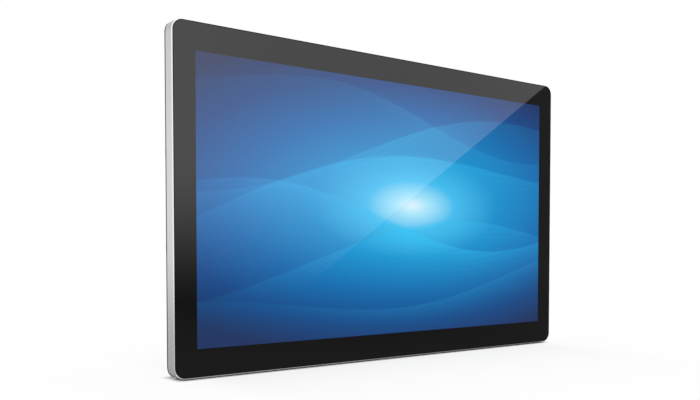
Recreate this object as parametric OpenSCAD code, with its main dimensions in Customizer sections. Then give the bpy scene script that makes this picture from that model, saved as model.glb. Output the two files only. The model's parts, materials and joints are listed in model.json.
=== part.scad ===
// All-in-one touch computer: a slab with a glass front, a silver trim band and a black rear cover.
// x runs to the right as seen from the front, y from the glass to the back, and z up.
// The origin is on the floor under the middle of the body's bounding box.
// Places inside are given by x, by v (height above the screen's centre)
// and by d (depth behind the front of the glass).

$fn = 48;

/* [Screen] */
// Width of the lit picture
active_w = 476.1; // [452:0.1:500]
// Height of the lit picture
active_h = 267.8; // [255:0.1:281]
// Black border to the left and right of the picture
border_side = 21.9; // [20:0.1:26]
// Black border above and below the picture
border_end = 25.4; // [24:0.1:30]
// Thickness of the cover glass
glass_t = 3; // [2:0.1:4]
// Polished bevel around the front of the glass
glass_bevel = 0.4; // [0.2:0.1:0.8]
// Thickness of the black border film behind the glass
mask_t = 0.1; // [0.05:0.05:0.2]
// Thickness of the tape and of the touch sensor, which share one layer
tape_t = 0.5; // [0.3:0.1:0.8]

/* [Trim band] */
// Gap between the glass edge and the band
glass_gap = 0.2; // [0.1:0.05:0.4]
// Wall thickness of the band
band_wall = 1; // [0.9:0.1:1.6]
// Bright chamfer around the front of the band
band_chamfer = 0.8; // [0.5:0.1:0.8]
// Depth of the band from the glass front
band_depth = 12; // [11:0.1:13]
// Outer corner radius of the band
corner_r = 11; // [8:0.5:16]
// Thickness of the shelf that carries the glass
shelf_t = 1.5; // [1:0.1:2]
// Room between the display panel and the shelf
panel_clear = 2.5; // [2:0.1:4]

/* [Display panel] */
// Panel frame beyond the picture at left and right
panel_side = 9.75; // [9:0.05:11]
// Panel frame beyond the picture above and below
panel_end = 12.2; // [11:0.1:13]
// Sheet steel of the panel's frame and pan
sheet_t = 0.8; // [0.5:0.1:1]
// Cell beyond the picture on each side
cell_border = 4.4; // [3:0.1:5]
// Thickness of the liquid crystal cell
cell_t = 1.4; // [1:0.1:2]
// Ledge that carries the cell
ledge_t = 0.8; // [0.6:0.1:1.2]
// Thickness of the film stack
film_t = 0.8; // [0.5:0.1:1]
// Thickness of the light guide
guide_t = 3; // [2.4:0.1:3.5]
// Thickness of the reflector sheet
reflector_t = 0.4; // [0.2:0.1:0.6]
// Room for the LED bar under the light guide
led_room = 3.4; // [3:0.1:5]
// Spacing of the LEDs
led_pitch = 12; // [8:1:20]
// Height of the panel's driver board
driver_h = 18; // [14:1:20]
// Length of the panel's driver board
driver_w = 220; // [180:5:260]

/* [Inner frame] */
// Thickness of the panel brackets
bracket_t = 1.2; // [1:0.1:1.5]
// Spacing of the frame screws up each side
frame_pitch = 100; // [80:1:115]
// Length of the band's screw bosses behind the shelf
boss_len = 3.7; // [3:0.1:4]
// Outer radius of the band's screw bosses
boss_r = 2.8; // [2.4:0.1:3]
// Sheet thickness of the chassis
chassis_t = 1; // [0.8:0.1:1.2]
// Step of the chassis behind its side flanges
chassis_rise = 2; // [1.8:0.1:3]
// Width of the chassis flanges on the brackets
flange_w = 13; // [11:0.5:14]

/* [Rear cover] */
// Wall thickness of the rear cover
cover_wall = 2.5; // [2:0.1:3]
// Step of the cover's edge inside the band
lip_inset = 0.1; // [0:0.1:0.6]
// Straight edge of the cover behind the band
lip_depth = 2.2; // [1.5:0.1:3]
// Depth of the flat back from the glass front
back_depth = 30; // [29:0.5:33]
// Inward run of the sloping flanks
flank_run = 34; // [28:1:36]
// Rise of the rear housing behind the flat back
hump_rise = 16; // [15:0.5:20]
// Corner radius of the rear housing
hump_r = 14; // [8:1:20]
// Chamfer around the back of the rear housing
hump_chamfer = 3; // [1:0.5:5]
// Length of the tongue that enters the band
tongue_len = 3; // [2:0.5:4]
// Thickness of the tongue
tongue_t = 1.2; // [1:0.1:1.4]
// Length of the accessory slots in the cover's edge
hook_len = 9.5; // [6:0.5:14]
// Opening of the accessory slots
hook_gap = 1.5; // [1:0.1:1.6]
// Distance of the accessory slots from the middle of each edge
hook_off = 43; // [30:1:60]
// Width of the vent slots
vent_w = 3; // [2:0.5:4]
// Spacing of the vent slots
vent_pitch = 6; // [5:0.5:8]
// Vent slots along the top of the rear housing
vent_count = 44; // [20:2:48]
// Length of the top vent slots
vent_len = 8; // [6:0.5:10]
// Intake slots in each group on the back
intake_count = 10; // [6:1:11]
// Length of the intake slots
intake_len = 56; // [40:1:60]

/* [Mounting posts] */
// Wide square of mounting holes
mount_wide = 100; // [100:1:100]
// Narrow square of mounting holes
mount_narrow = 75; // [75:1:75]
// Outer radius of the mounting posts
post_r = 5; // [4:0.1:6]
// Radius of the tapped hole in each post
post_hole_r = 1.65; // [1.65:0.01:2.05]
// Depth of the tapped hole
post_hole_len = 12; // [8:1:16]
// Thickness of the plate under the posts
mount_plate_t = 2; // [1.5:0.1:2.4]
// Plate margin around the posts
mount_plate_edge = 7; // [6:0.5:9]

/* [Mainboard] */
// Width of the mainboard
board_w = 112; // [106:1:118]
// Height of the mainboard
board_h = 168; // [164:1:180]
// Thickness of the boards
board_t = 1.6; // [1.2:0.1:1.6]
// Height of the posts under the mainboard
board_post_h = 5; // [4.5:0.1:6]
// Room between the mainboard and the mounting posts
board_room = 5; // [4:0.5:8]
// Room beside the mainboard in the rear housing
housing_side = 11.5; // [9:0.5:14]
// Room above the mainboard in the rear housing
housing_top = 21.5; // [20:0.5:26]
// Side of the processor package
cpu_side = 24; // [20:1:30]
// Thickness of the processor package
cpu_t = 1.4; // [1:0.1:2]
// Length of the memory module
memory_w = 67.6; // [67.6:0.1:67.6]
// Height of the memory module
memory_h = 30; // [30:0.1:30]
// Width of the drive and radio modules
card_w = 22; // [22:0.1:22]
// Length of the drive module
drive_len = 80; // [80:1:80]
// Length of the radio module
radio_len = 30; // [30:1:30]
// Height of the card modules above the mainboard
card_rise = 3; // [2:0.1:4]
// Radius of the clock cell
clock_r = 8; // [8:0.1:8]
// Thickness of the clock cell
clock_t = 3.2; // [2:0.1:3.2]

/* [Sockets] */
// Depth of the port bay in front of the mainboard's back
bay_drop = 2.5; // [2:0.1:3]
// Height of the port bay
bay_h = 38; // [30:1:38]
// Thickness of the shield plate around the sockets
shield_t = 1; // [0.6:0.1:1.2]
// Clearance around the sockets in the shield plate
shield_gap = 0.3; // [0.2:0.05:0.5]
// Distance of the outer sockets from the mainboard's sides
port_edge = 5; // [4:0.5:8]
// Width of the power socket
power_w = 9; // [9:0.1:10]
// Width of each double USB socket
usb_w = 13.2; // [13:0.1:14.5]
// Height of each double USB socket
usb_h = 15.6; // [15:0.1:16]
// Width of the network socket
net_w = 16; // [15.5:0.1:16.5]
// Width of the video socket
video_w = 15; // [14.8:0.1:15.5]
// Width of the audio socket
audio_w = 7; // [6:0.1:7.5]
// Bore radius of the audio socket
audio_bore_r = 1.8; // [1.77:0.01:1.85]
// Bore depth of the audio socket
audio_bore_len = 12; // [10:0.5:13]

/* [Cooler] */
// Side of the plate on the processor
plate_side = 52; // [44:1:54]
// Thickness of the plate on the processor
plate_t = 3; // [2:0.1:3.5]
// Width of the flattened heat pipe
pipe_w = 8; // [6:0.5:9]
// Thickness of the flattened heat pipe
pipe_t = 3; // [2.5:0.1:3.5]
// Depth of the fin stack along the air flow
fin_h = 20; // [16:1:22]
// Fins in the stack
fin_count = 18; // [10:1:24]
// Thickness of each fin
fin_t = 0.6; // [0.4:0.1:0.8]
// Width of the fan housing
fan_w = 72; // [66:1:76]
// Thickness of the fan housing
fan_t = 15; // [13:0.5:16]
// Room between the fan and the rear cover
fan_gap = 1.5; // [1:0.1:2]
// Wall thickness of the fan housing
fan_wall = 1.2; // [1:0.1:1.6]
// Hub radius of the fan
hub_r = 14; // [12:0.5:16]
// Number of fan blades
blade_count = 17; // [9:1:23]
// Tip radius of the fan blades
blade_r = 29; // [24:0.5:30]
// Radius of the fan shaft
shaft_r = 1.5; // [1:0.1:2]
// Running clearance around the fan shaft
shaft_gap = 0.05; // [0.02:0.01:0.08]

/* [Sound] */
// Width of each speaker
speaker_w = 40; // [34:1:42]
// Height of each speaker
speaker_h = 18; // [15:0.5:19]
// Depth of each speaker
speaker_t = 10.5; // [8:0.5:11]
// Slots under each speaker
speaker_slots = 8; // [4:1:9]
// Spacing of the slots under each speaker
speaker_pitch = 4; // [3.5:0.5:4.5]

/* [Buttons] */
// Radius of the power button
power_r = 5; // [4:0.1:6]
// Radius of the volume buttons
volume_r = 4; // [3.5:0.1:5]
// Travel of the buttons
button_travel = 0.8; // [0.5:0.1:1]
// Gap around the buttons in the cover
button_gap = 0.3; // [0.3:0.05:0.5]
// Height of the power button above the screen's centre
power_v = 44; // [36:1:60]
// Spacing of the buttons
button_pitch = 20; // [16:1:24]

/* [Feet and screws] */
// Height of the feet under the band
foot_h = 1.2; // [0.8:0.1:2]
// Width of each foot
foot_w = 36; // [20:1:60]
// Distance of the feet from the middle
foot_x = 150; // [100:1:165]
// Depth of each front foot
foot_front = 6; // [4:0.5:7]
// Depth of each rear foot
foot_rear = 8; // [5:0.5:10]
// Shank radius of the large screws
screw_r = 1.5; // [1.5:0.1:1.5]
// Head radius of the large screws
screw_head_r = 2.75; // [2.5:0.05:2.9]
// Head height of the large screws
screw_head_t = 1.6; // [1.2:0.1:1.8]
// Shank radius of the small board screws
small_r = 1.25; // [1:0.05:1.25]
// Head radius of the small board screws
small_head_r = 2.2; // [2:0.1:2.4]

/* [Hidden] */

eps = 0.05;
slip = 0.05;

// Outlines
glass_w = active_w + 2 * border_side;
glass_h = active_h + 2 * border_end;
inner_w = glass_w + 2 * glass_gap;
inner_h = glass_h + 2 * glass_gap;
outer_w = inner_w + 2 * band_wall;
outer_h = inner_h + 2 * band_wall;
inner_r = corner_r - band_wall;
glass_r = inner_r - glass_gap;
panel_w = active_w + 2 * panel_side;
panel_h = active_h + 2 * panel_end;
shelf_w = panel_w + 2 * panel_clear;
shelf_h = panel_h + 2 * panel_clear;
shelf_r = 3;
tape_edge = 1;
cell_w = active_w + 2 * cell_border;
cell_h = active_h + 2 * cell_border;
cell_fit = 0.3;
mould_fit = 0.2;
mould_w = panel_w - 2 * sheet_t - 2 * mould_fit;
mould_h = panel_h - 2 * sheet_t - 2 * mould_fit;
window_edge = 2;

// Depths behind the glass front
body_depth = back_depth + hump_rise;
front_y = -body_depth / 2;
centre_z = foot_h + outer_h / 2;
tape_d = glass_t + mask_t;
panel_d = tape_d + tape_t;
cell_d = panel_d + sheet_t;
ledge_d = cell_d + cell_t;
films_d = ledge_d + ledge_t;
guide_d = films_d + film_t;
reflector_d = guide_d + guide_t;
pan_d = reflector_d + reflector_t;
panel_back = pan_d + sheet_t;
shelf_back = panel_d + shelf_t;
boss_back = shelf_back + boss_len;
flange_d = panel_back + bracket_t;
chassis_d = flange_d + chassis_rise;
chassis_back = chassis_d + chassis_t;
board_d = chassis_back + board_post_h;
board_back = board_d + board_t;
lip_end = band_depth + lip_depth;
back_in = back_depth - cover_wall;
body_in = body_depth - cover_wall;

// Rear cover
lip_w = outer_w - 2 * lip_inset;
lip_h = outer_h - 2 * lip_inset;
lip_r = corner_r - lip_inset;
flank_slope = flank_run / (back_depth - lip_end);
wall_shift = cover_wall * sqrt(1 + flank_slope * flank_slope);
flat_x = lip_w / 2 - flank_run;
flat_top = lip_h / 2 - flank_run;
floor_in = -lip_h / 2 + cover_wall;
hump_w = 2 * (mount_wide / 2 + post_r + board_room + board_w + housing_side + cover_wall);
hump_h = board_h + housing_top + 2 * cover_wall + shield_t;
hump_top_in = hump_h / 2 - cover_wall;
hump_side_in = hump_w / 2 - cover_wall;
lock_v = -60;
lock_in = 8;
lock_d = body_in - lock_in;

// Mainboard and sockets
shield_v = -hump_h / 2 + cover_wall;
shield_room = 0.5;
board_v0 = shield_v + shield_t + shield_room;
board_v1 = board_v0 + board_h;
board_x1 = -(mount_wide / 2 + post_r + board_room);
board_x0 = board_x1 - board_w;
socket_inset = 0.8;
socket_v = -hump_h / 2 + socket_inset;
port_widths = [power_w, usb_w, usb_w, net_w, video_w, audio_w];
port_sum = power_w + 2 * usb_w + net_w + video_w + audio_w;
port_gap = (board_w - 2 * port_edge - port_sum) / 5;
bay_d = board_back - bay_drop;
bay_side = 3;
bay_x0 = board_x0 - bay_side;
bay_x1 = board_x1 + bay_side;
bay_v0 = -hump_h / 2 - bay_h;
power_sock_h = 11;
net_h = 13.4;
video_h = 6.2;
audio_h = 6.4;
port_heights = [power_sock_h, usb_h, usb_h, net_h, video_h, audio_h];
board_inset = 4;
board_post_r = 2.75;
small_len = 5;
small_head_t = 1.4;
low_post_up = 26;
drive_up = 31;
main_posts = [
    [board_x0 + board_inset, board_v0 + low_post_up],
    [board_x1 - board_inset, board_v0 + low_post_up],
    [board_x0 + board_inset, board_v1 - board_inset],
    [board_x1 - board_inset, board_v1 - board_inset]];
card_t = 0.8;
card_sock_h = 6;
card_bite = 1.2;
card_over = card_sock_h - card_bite + 0.2;
card_screw_r = 0.75;
card_screw_v = 2.5;
card_d = board_back + card_rise;
memory_arm = 3;
memory_fit = 0.5;
memory_bar = 6;
memory_hold = 2;
memory_reach = 22;
memory_tall = 5.2;
memory_t = 1.2;
memory_d = board_back + 2.6;
memory_full = memory_w + 2 * memory_arm + 2 * memory_fit;
coil = 7;
coil_up = 30;

// Free width and height of the mainboard, shared out between its pieces
free_w = board_w - card_w - memory_full - pipe_w;
free_drive = board_h - drive_up - drive_len - radio_len - 2 * card_over;
free_h = board_h - coil_up - coil - plate_side - memory_h - memory_bar + memory_hold - 2 * clock_r;
drive_x0 = board_x0 + free_w * 0.5;
drive_v0 = board_v0 + drive_up;
radio_v0 = drive_v0 + drive_len + card_over + free_drive * 0.3;
memory_x0 = drive_x0 + card_w + free_w * 0.27;
plate_off = 14;
cpu_x = board_x1 - plate_side / 2 - plate_off;
cpu_v = board_v0 + coil_up + coil + free_h * 0.38 + plate_side / 2;
memory_v0 = cpu_v + plate_side / 2 + free_h * 0.41;
clock_x = memory_x0 + clock_r + 2;
clock_v = memory_v0 + memory_h + memory_bar - memory_hold + free_h * 0.14 + clock_r;
plug_up = 33;
plug_v = board_v0 + plug_up;
turn_up = 22;
turn_v = board_v0 + turn_up;
cable_plug = 6;

// Touch board and cables
touch_x = 112;
touch_w = 76;
touch_h = 34;
touch_v0 = -(mount_wide / 2 + post_r + 20);
touch_post_h = 3;
touch_d = chassis_back + touch_post_h;
touch_posts = [
    [touch_x - touch_w / 2 + board_inset, touch_v0 + board_inset],
    [touch_x + touch_w / 2 - board_inset, touch_v0 + board_inset],
    [touch_x - touch_w / 2 + board_inset, touch_v0 + touch_h - board_inset],
    [touch_x + touch_w / 2 - board_inset, touch_v0 + touch_h - board_inset]];
ribbon_t = 0.3;
ribbon_w = 14;
tail_w = 12;
tail_v = -panel_h / 2 - 1.3;
tail_run_d = touch_d - 0.8;
cable_x = board_x1 + 22;
driver_v0 = -panel_h / 2 + 6;
driver_t = 1.2;
chassis_v0 = -panel_h / 2 + 4;
chassis_v1 = panel_h / 2 - 6;
chassis_x = panel_w / 2 - 12;
slot_v = driver_v0 + driver_h + 4;
slot_h = 6;

// Cooler
cpu_d = board_back;
plate_d = cpu_d + cpu_t;
pipe_d = plate_d + plate_t;
fan_x = mount_wide / 2 + post_r + 21 + fan_w / 2;
fin_w = fan_w - 4;
fin_v1 = hump_top_in - 2;
fin_v0 = fin_v1 - fin_h;
fan_h = fan_w - 2;
fan_v0 = fin_v0 - 1 - fan_h;
fan_v = fan_v0 + fan_h / 2;
fan_d1 = body_in - fan_gap;
fan_d0 = fan_d1 - fan_t;
fin_d0 = pipe_d - 3;
pipe_x = board_x1 - pipe_w / 2;
pipe_v = fin_v0 + fin_h / 2;
pipe_r = 12;
pipe_start = 4;
lid_t = 0.8;
bearing_r = 3.5;
bearing_d1 = fan_d1 - 6;
rotor_d0 = fan_d0 + fan_wall + 1.8;
rotor_d1 = fan_d1 - lid_t - 0.6;
leg_r = 3;

// Sound
speaker_x = flat_x - 4.9 - speaker_w / 2;
speaker_v0 = floor_in + 0.5;
speaker_d = chassis_back;
wire_r = 0.5;
wire_room = board_room + post_r - mount_plate_edge;
wire_v = chassis_v0 + 1.2;
wire_d = chassis_back + wire_r + slip;

// Buttons
button_x = flat_x - 18;
button_vs = [power_v, power_v - button_pitch, power_v - 2 * button_pitch];
button_rs = [power_r, volume_r, volume_r];
button_flange = 1.5;
button_flange_t = 0.8;
button_rise = 0.8;
stem_r = 1.2;
switch_side = 6;
switch_h = 2.6;
button_board_d = back_in - 6.5;
button_posts = [[button_x, power_v + 12], [button_x, power_v - 2 * button_pitch - 12]];

// Screws
frame_x = (inner_w / 2 + shelf_w / 2) / 2;
frame_vs = [-frame_pitch, 0, frame_pitch];
bracket_over = 12;
bracket_edge = 2.4;
chassis_screw_x = chassis_x + flange_w / 2;
cover_post_r = 3.5;
cover_boss_r = 4.4;
cover_seat = back_depth - 5;
cover_split = chassis_back + 6.2;
cover_grip = 4.5;
cover_hole_len = 5;
tip_gap = 0.4;
cover_points = [
    [-(flat_x - 16), flat_top - 14], [flat_x - 16, flat_top - 14],
    [-(flat_x - 16), -(flat_top - 14)], [flat_x - 16, -(flat_top - 14)],
    [0, flat_top - 14], [0, chassis_v0 + 6]];

// Left end of socket i along the mainboard's lower edge
function port_start(i) = i == 0 ? board_x0 + port_edge : port_start(i - 1) + port_widths[i - 1] + port_gap;

// Middle of socket i
function port_mid(i) = port_start(i) + port_widths[i] / 2;

// Rectangle with round corners, centred
module rounded(w, h, r) {
    square([w - 2 * r, h], center = true);
    square([w, h - 2 * r], center = true);
    for (x = [-1, 1], y = [-1, 1])
        translate([x * (w / 2 - r), y * (h / 2 - r)])
            circle(r);
}

// Slot with round ends, centred, long in x
module capsule(length, width) {
    square([length - width, width], center = true);
    for (x = [-1, 1])
        translate([x * (length - width) / 2, 0])
            circle(width / 2);
}

// Plate in the screen's plane, from depth d
module slab(d, t) {
    translate([0, front_y + d + t, centre_z])
        rotate([90, 0, 0])
            linear_extrude(t)
                children();
}

// Box between two x, two v and two d
module block(x0, x1, v0, v1, d0, d1) {
    translate([x0, front_y + d0, centre_z + v0])
        cube([x1 - x0, d1 - d0, v1 - v0]);
}

// Round rod along the depth, from depth d
module rod(x, v, d, length, r) {
    translate([x, front_y + d, centre_z + v])
        rotate([-90, 0, 0])
            cylinder(h = length, r = r);
}

// Round rod along x
module rod_x(x, v, d, length, r) {
    translate([x, front_y + d, centre_z + v])
        rotate([0, 90, 0])
            cylinder(h = length, r = r);
}

// Round rod along v
module rod_v(x, v, d, length, r) {
    translate([x, front_y + d, centre_z + v])
        cylinder(h = length, r = r);
}

// Ball at a wire's bend
module ball(x, v, d, r) {
    translate([x, front_y + d, centre_z + v])
        sphere(r);
}

// Half of a chamfered slab's section, out to a
function chamfer_half(a, t, c) = [[0, 0], [a, 0], [a, t - c], [a - c, t], [0, t]];

// Whole section of a chamfered slab, a to each side
function chamfer_section(a, t, c) = [[-a, 0], [a, 0], [a, t - c], [a - c, t], [c - a, t], [-a, t - c]];

// Rounded slab with a chamfer around its upper face
module chamfered(w, h, r, t, c) {
    rotate([90, 0, 0])
        linear_extrude(h - 2 * r, center = true)
            polygon(chamfer_section(w / 2, t, c));
    rotate([90, 0, 90])
        linear_extrude(w - 2 * r, center = true)
            polygon(chamfer_section(h / 2, t, c));
    for (x = [-1, 1], y = [-1, 1])
        translate([x * (w / 2 - r), y * (h / 2 - r), 0])
            rotate_extrude()
                polygon(chamfer_half(r, t, c));
}

// Chamfered slab whose upper face looks to the front
module front_slab(d, w, h, r, t, c) {
    translate([0, front_y + d + t, centre_z])
        rotate([90, 0, 0])
            chamfered(w, h, r, t, c);
}

// Chamfered slab whose upper face looks to the back
module back_slab(d, w, h, r, t, c) {
    translate([0, front_y + d, centre_z])
        rotate([-90, 0, 0])
            chamfered(w, h, r, t, c);
}

// Sloping body of the rear cover: straight underneath, sloped at the sides and the top
module tapered(w, h, r, d0, d1, shift) {
    top0 = lip_h / 2 - shift + lip_end * flank_slope;
    side0 = lip_w / 2 - shift + lip_end * flank_slope;
    top1 = top0 - d1 * flank_slope;
    side1 = side0 - d1 * flank_slope;
    intersection() {
        slab(d0, d1 - d0)
            rounded(w, h, r);
        translate([0, front_y, centre_z - h])
            linear_extrude(2 * h)
                polygon([[-side0, 0], [side0, 0], [side1, d1], [-side1, d1]]);
        translate([-w, front_y, centre_z])
            rotate([90, 0, 90])
                linear_extrude(2 * w)
                    polygon([[0, -h], [0, top0], [d1, top1], [d1, -h]]);
    }
}

// Screw with its head towards the back, seated at depth d
module screw(x, v, d, length, r, head_r, head_t) {
    rod(x, v, d - length, length + eps, r);
    rod(x, v, d, head_t, head_r);
}

// Post with a hole from its back
module post(x, v, d, length, r, hole_r, hole_len) {
    difference() {
        rod(x, v, d, length, r);
        rod(x, v, d + length - hole_len, hole_len + 1, hole_r);
    }
}

// Clear glass front with a polished bevel
module cover_glass() {
    color([0.1, 0.1, 0.12])
        front_slab(0, glass_w, glass_h, glass_r, glass_t, glass_bevel);
}

// Black border behind the glass
module border_mask() {
    color([0.03, 0.03, 0.03])
        slab(glass_t, mask_t)
            difference() {
                rounded(glass_w - tape_edge, glass_h - tape_edge, glass_r - tape_edge / 2);
                square([active_w, active_h], center = true);
            }
}

// Adhesive ring between the glass and the shelf
module glass_tape() {
    color([0.08, 0.08, 0.08])
        slab(tape_d, tape_t)
            difference() {
                rounded(glass_w - 2 * tape_edge, glass_h - 2 * tape_edge, glass_r - tape_edge);
                square([shelf_w + 2 * tape_edge, shelf_h + 2 * tape_edge], center = true);
            }
}

// Clear touch sensor behind the glass
module touch_sensor() {
    color([0.55, 0.6, 0.65])
        slab(tape_d, tape_t)
            square([shelf_w - 2 * tape_edge, shelf_h - 2 * tape_edge], center = true);
}

// Steel frame around the front and sides of the display panel
module lcd_front_frame() {
    color([0.35, 0.35, 0.37]) {
        slab(panel_d, sheet_t)
            difference() {
                square([panel_w, panel_h], center = true);
                square([active_w + 2 * window_edge, active_h + 2 * window_edge], center = true);
            }
        slab(cell_d - eps, panel_back - cell_d + eps)
            difference() {
                square([panel_w, panel_h], center = true);
                square([panel_w - 2 * sheet_t, panel_h - 2 * sheet_t], center = true);
            }
    }
}

// Liquid crystal cell that shows the picture
module lcd_cell() {
    color([0.1, 0.35, 0.8])
        slab(cell_d, cell_t)
            square([cell_w, cell_h], center = true);
}

// Plastic frame that holds the cell above the backlight
module panel_mould_frame() {
    color([0.85, 0.85, 0.83])
        difference() {
            slab(cell_d, pan_d - cell_d)
                square([mould_w, mould_h], center = true);
            slab(cell_d - 1, cell_t + 1)
                square([cell_w + 2 * cell_fit, cell_h + 2 * cell_fit], center = true);
            slab(ledge_d - 1, ledge_t + 2)
                square([active_w + 2 * window_edge, active_h + 2 * window_edge], center = true);
            slab(films_d, pan_d - films_d + 1)
                square([cell_w + 2 * cell_fit, cell_h + 2 * cell_fit], center = true);
        }
}

// Outline of the films and the light guide above the LED bar
module lit_outline() {
    translate([-cell_w / 2, -cell_h / 2 + led_room])
        square([cell_w, cell_h - led_room]);
}

// Diffuser and prism films
module optical_films() {
    color([0.93, 0.93, 0.95])
        slab(films_d, film_t)
            lit_outline();
}

// Clear plate that spreads the light
module light_guide() {
    color([0.8, 0.9, 0.95])
        slab(guide_d, guide_t)
            lit_outline();
}

// LED strip under the light guide
module led_bar() {
    strip_t = 1.2;
    led_h = led_room - strip_t - 0.4;
    led_w = 4;
    count = floor(active_w / led_pitch);
    color([0.95, 0.9, 0.6]) {
        block(-active_w / 2, active_w / 2, -cell_h / 2, -cell_h / 2 + strip_t, guide_d, reflector_d);
        for (i = [0 : count - 1])
            translate([(i - (count - 1) / 2) * led_pitch, 0, 0])
                block(-led_w / 2, led_w / 2, -cell_h / 2 + strip_t - eps, -cell_h / 2 + strip_t + led_h,
                    guide_d + 0.3, reflector_d - 0.3);
    }
}

// White sheet behind the light guide
module reflector_sheet() {
    color([0.97, 0.97, 0.97])
        slab(reflector_d, reflector_t)
            square([cell_w, cell_h], center = true);
}

// Steel pan that closes the display panel
module lcd_back_pan() {
    color([0.7, 0.71, 0.72])
        slab(pan_d, sheet_t)
            square([mould_w, mould_h], center = true);
}

// Driver board on the panel's back
module lcd_driver_board() {
    chip_t = 1;
    chip_w = 14;
    color([0.1, 0.4, 0.2]) {
        block(-driver_w / 2, driver_w / 2, driver_v0, driver_v0 + driver_h,
            panel_back, panel_back + driver_t);
        for (x = [-0.36, 0.14, 0.34])
            translate([x * driver_w, 0, 0])
                block(-chip_w / 2, chip_w / 2, driver_v0 + 3, driver_v0 + driver_h - 5,
                    panel_back + driver_t - eps, panel_back + driver_t + chip_t);
        block(cable_x - ribbon_w / 2 - 1, cable_x + ribbon_w / 2 + 1, driver_v0 + driver_h - 9,
            driver_v0 + driver_h - 5, panel_back + driver_t - eps, panel_back + driver_t + chip_t);
    }
}

// Silver band with its chamfered front, the glass shelf and the screw bosses
module trim_band() {
    color([0.8, 0.81, 0.82]) {
        difference() {
            front_slab(0, outer_w, outer_h, corner_r, band_depth, band_chamfer);
            slab(-1, panel_d + 1)
                rounded(inner_w, inner_h, inner_r);
            slab(panel_d - 1, shelf_t + 2)
                rounded(shelf_w, shelf_h, shelf_r);
            slab(shelf_back, band_depth)
                rounded(inner_w, inner_h, inner_r);
        }
        for (x = [-frame_x, frame_x], v = frame_vs)
            difference() {
                rod(x, v, shelf_back - eps, boss_len + eps, boss_r);
                rod(x, v, shelf_back, boss_len + 1, screw_r + slip);
            }
    }
}

// Steel bracket from the panel's back to the band
module lcd_bracket(side) {
    web_x = panel_w / 2 + 0.4;
    reach = frame_pitch + bracket_over;
    outer_x = frame_x + bracket_edge;
    difference() {
        union() {
            for (part = [
                [chassis_x, web_x + bracket_t, panel_back, flange_d],
                [web_x, web_x + bracket_t, boss_back, flange_d],
                [web_x, outer_x, boss_back, boss_back + bracket_t]])
                if (side > 0)
                    block(part[0], part[1], -reach, reach, part[2], part[3]);
                else
                    block(-part[1], -part[0], -reach, reach, part[2], part[3]);
        }
        for (v = frame_vs) {
            rod(side * frame_x, v, boss_back - 1, bracket_t + 2, screw_r + 0.2);
            rod(side * chassis_screw_x, v, panel_back - 1, bracket_t + 2, screw_r + slip);
        }
    }
}

// Left panel bracket
module lcd_bracket_left() {
    color([0.6, 0.62, 0.64])
        lcd_bracket(-1);
}

// Right panel bracket
module lcd_bracket_right() {
    color([0.6, 0.62, 0.64])
        lcd_bracket(1);
}

// Screws from the brackets into the band
module frame_screws() {
    color([0.75, 0.75, 0.75])
        for (x = [-frame_x, frame_x], v = frame_vs)
            screw(x, v, boss_back + bracket_t, boss_len + bracket_t - tip_gap,
                screw_r, screw_head_r, screw_head_t);
}

// Steel chassis that carries the boards, with a tab behind each speaker
module main_chassis() {
    reach = frame_pitch + 10;
    color([0.66, 0.68, 0.7])
        difference() {
            union() {
                block(-chassis_x, chassis_x, chassis_v0, chassis_v1, chassis_d, chassis_back);
                for (s = [-1, 1]) {
                    translate([s * (chassis_x - chassis_t / 2), 0, 0])
                        block(-chassis_t / 2, chassis_t / 2, -reach, reach, flange_d, chassis_back);
                    translate([s * (chassis_x + flange_w / 2 - chassis_t / 2), 0, 0])
                        block(-(flange_w + chassis_t) / 2, (flange_w + chassis_t) / 2,
                            -reach, reach, flange_d, flange_d + chassis_t);
                }
                for (x = [-speaker_x, speaker_x])
                    translate([x, 0, 0])
                        block(-speaker_w / 2 + 1, speaker_w / 2 - 1, speaker_v0, chassis_v0 + 1,
                            chassis_d, chassis_back);
            }
            for (x = [-chassis_screw_x, chassis_screw_x], v = frame_vs)
                rod(x, v, flange_d - 1, chassis_t + 2, screw_r + 0.2);
            block(cable_x - ribbon_w / 2 - 3, cable_x + ribbon_w / 2 + 3, slot_v, slot_v + slot_h,
                chassis_d - 1, chassis_back + 1);
        }
}

// Screws from the chassis into the brackets
module chassis_screws() {
    color([0.75, 0.75, 0.75])
        for (x = [-chassis_screw_x, chassis_screw_x], v = frame_vs)
            screw(x, v, flange_d + chassis_t, chassis_t + bracket_t - 2 * slip,
                screw_r, screw_head_r, screw_head_t);
}

// Plate that spreads the load of the mounting posts
module mount_plate() {
    half = mount_wide / 2 + mount_plate_edge;
    color([0.6, 0.62, 0.64])
        block(-half, half, -half, half, chassis_back, chassis_back + mount_plate_t);
}

// Tapped posts for a wall or arm mount, in two squares
module mount_posts() {
    start = chassis_back + mount_plate_t;
    color([0.75, 0.76, 0.78])
        for (half = [mount_wide / 2, mount_narrow / 2], x = [-1, 1], v = [-1, 1])
            post(x * half, v * half, start, body_depth - start, post_r, post_hole_r, post_hole_len);
}

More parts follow.
